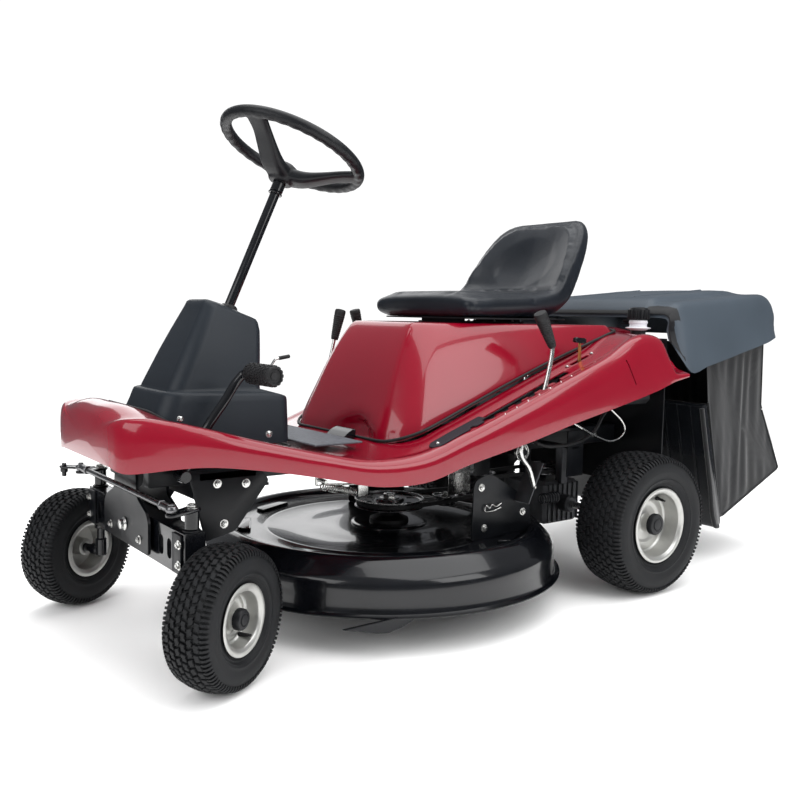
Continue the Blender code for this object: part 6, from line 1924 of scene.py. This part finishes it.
liner = [[(x + 0.0255, y, z) for x, y, z in row] for row in liner]
build("height_slot_liner", join(left_strip, carve(loft(liner, ring=False), None, wall=0.002)), "chassis",
    PLASTIC)
marks = []
for k in range(7):
    y = 0.128 + 0.0365 * k
    marks.append(moved(block((-0.0011, -0.0042, 0.0), (0.0011, 0.0042, 0.0007), 0.0002, 1),
        shift_to((0.3405, y, shoulder_at(0.3405, y) - 0.0001)) @ Matrix.Rotation(GATE_SLOPE + 0.1, 4,
        "X") @ Matrix.Rotation(0.9, 4, "Z")))
build("height_marks", join(*marks), "chassis", GLASSY)
print("height marks", len(marks))

# %% Throttle, latch and fuel cap
TX, TY, TZ = 0.29, 0.429, 0.6
blade_line = [(TY - 0.006, TZ - 0.02), (TY + 0.006, TZ - 0.02), (TY + 0.004, TZ + 0.03),
    (TY + 0.002, TZ + 0.055), (TY - 0.006, TZ + 0.055), (TY - 0.005, TZ + 0.03)]
build("throttle_blade",
    plate(softened(blade_line, 0.002, 2, closed=True), "X", TX - 0.0013, TX + 0.0013, 0.0003), "throttle",
    BRASS, ["throttle_lever"])
knob = [(TY - 0.021, TZ + 0.054), (TY + 0.016, TZ + 0.05), (TY + 0.019, TZ + 0.057),
    (TY + 0.016, TZ + 0.064), (TY - 0.018, TZ + 0.067), (TY - 0.022, TZ + 0.061)]
build("throttle_knob",
    plate(softened(knob, 0.004, 4, closed=True), "X", TX - 0.006, TX + 0.006, 0.0028, 3), "throttle",
    SHINY)


screw_places = [((TX, y, shoulder_at(TX, y) - 0.0002), (TX, y, 1)) for y in (0.3845, 0.4735)]
bolts("throttle_screws", screw_places, "chassis", STEEL, lambda: pan_screw(0.004))
latch_line = [(-0.1655, 0.4185), (-0.15, 0.419), (-0.124, 0.4215), (-0.1235, 0.442), (-0.13, 0.4445),
    (-0.145, 0.437), (-0.16, 0.425)]
latch = [plate(softened(latch_line, 0.003, 3, closed=True), "X", 0.022, 0.098, 0.0035, 3)]
build("hood_latch_lever", join(*latch), "chassis", SHINY, ["hood_latch"])
build("hood_latch_bar", join(bar((0.03, -0.1665, 0.4215), (0.09, -0.1665, 0.4215), 0.0024, 16),
    block((0.052, -0.17, 0.4175), (0.068, -0.16, 0.4195), 0.0006)), "chassis", STEEL)


def fuel_cap():
    low = 0.7136
    dome = [(0, low), (0.027, low), (0.0275, low + 0.004), (0.0275, low + 0.026), (0.025, low + 0.032),
        (0.02, low + 0.0335), (0.019, low + 0.0325), (0, low + 0.0325)]
    parts = [turned(dome, 60, solid=False)]
    for k in range(20):
        rib = plate([(0.0262, -0.003), (0.03, -0.0012), (0.0305, 0.0), (0.03, 0.0012), (0.0262, 0.003)],
            "Z", low + 0.0015, low + 0.0275, 0.0005)
        parts.append(moved(rib, Matrix.Rotation(tau * k / 20, 4, "Z")))
    parts.append(block((-0.0185, -0.003, low + 0.032), (0.0185, 0.003, low + 0.0345), 0.0012))
    return moved(join(*parts), shift_to((0.22, 0.744, 0)))


build("fuel_cap_knob", fuel_cap(), "fuel_cap", PLASTIC, ["fuel_cap"], sharp=30)
neck = turned(softened([(0.0195, 0.683), (0.0345, 0.6895), (0.0345, 0.6915), (0.024, 0.6935),
    (0.0235, 0.702), (0.0255, 0.703), (0.0255, 0.709), (0.0235, 0.7125), (0.0195, 0.7125)], 0.0012,
    closed=True), 56, centre=(0.22, 0.744, 0))
build("filler_neck", neck, "chassis", TANK)
print("small controls done")
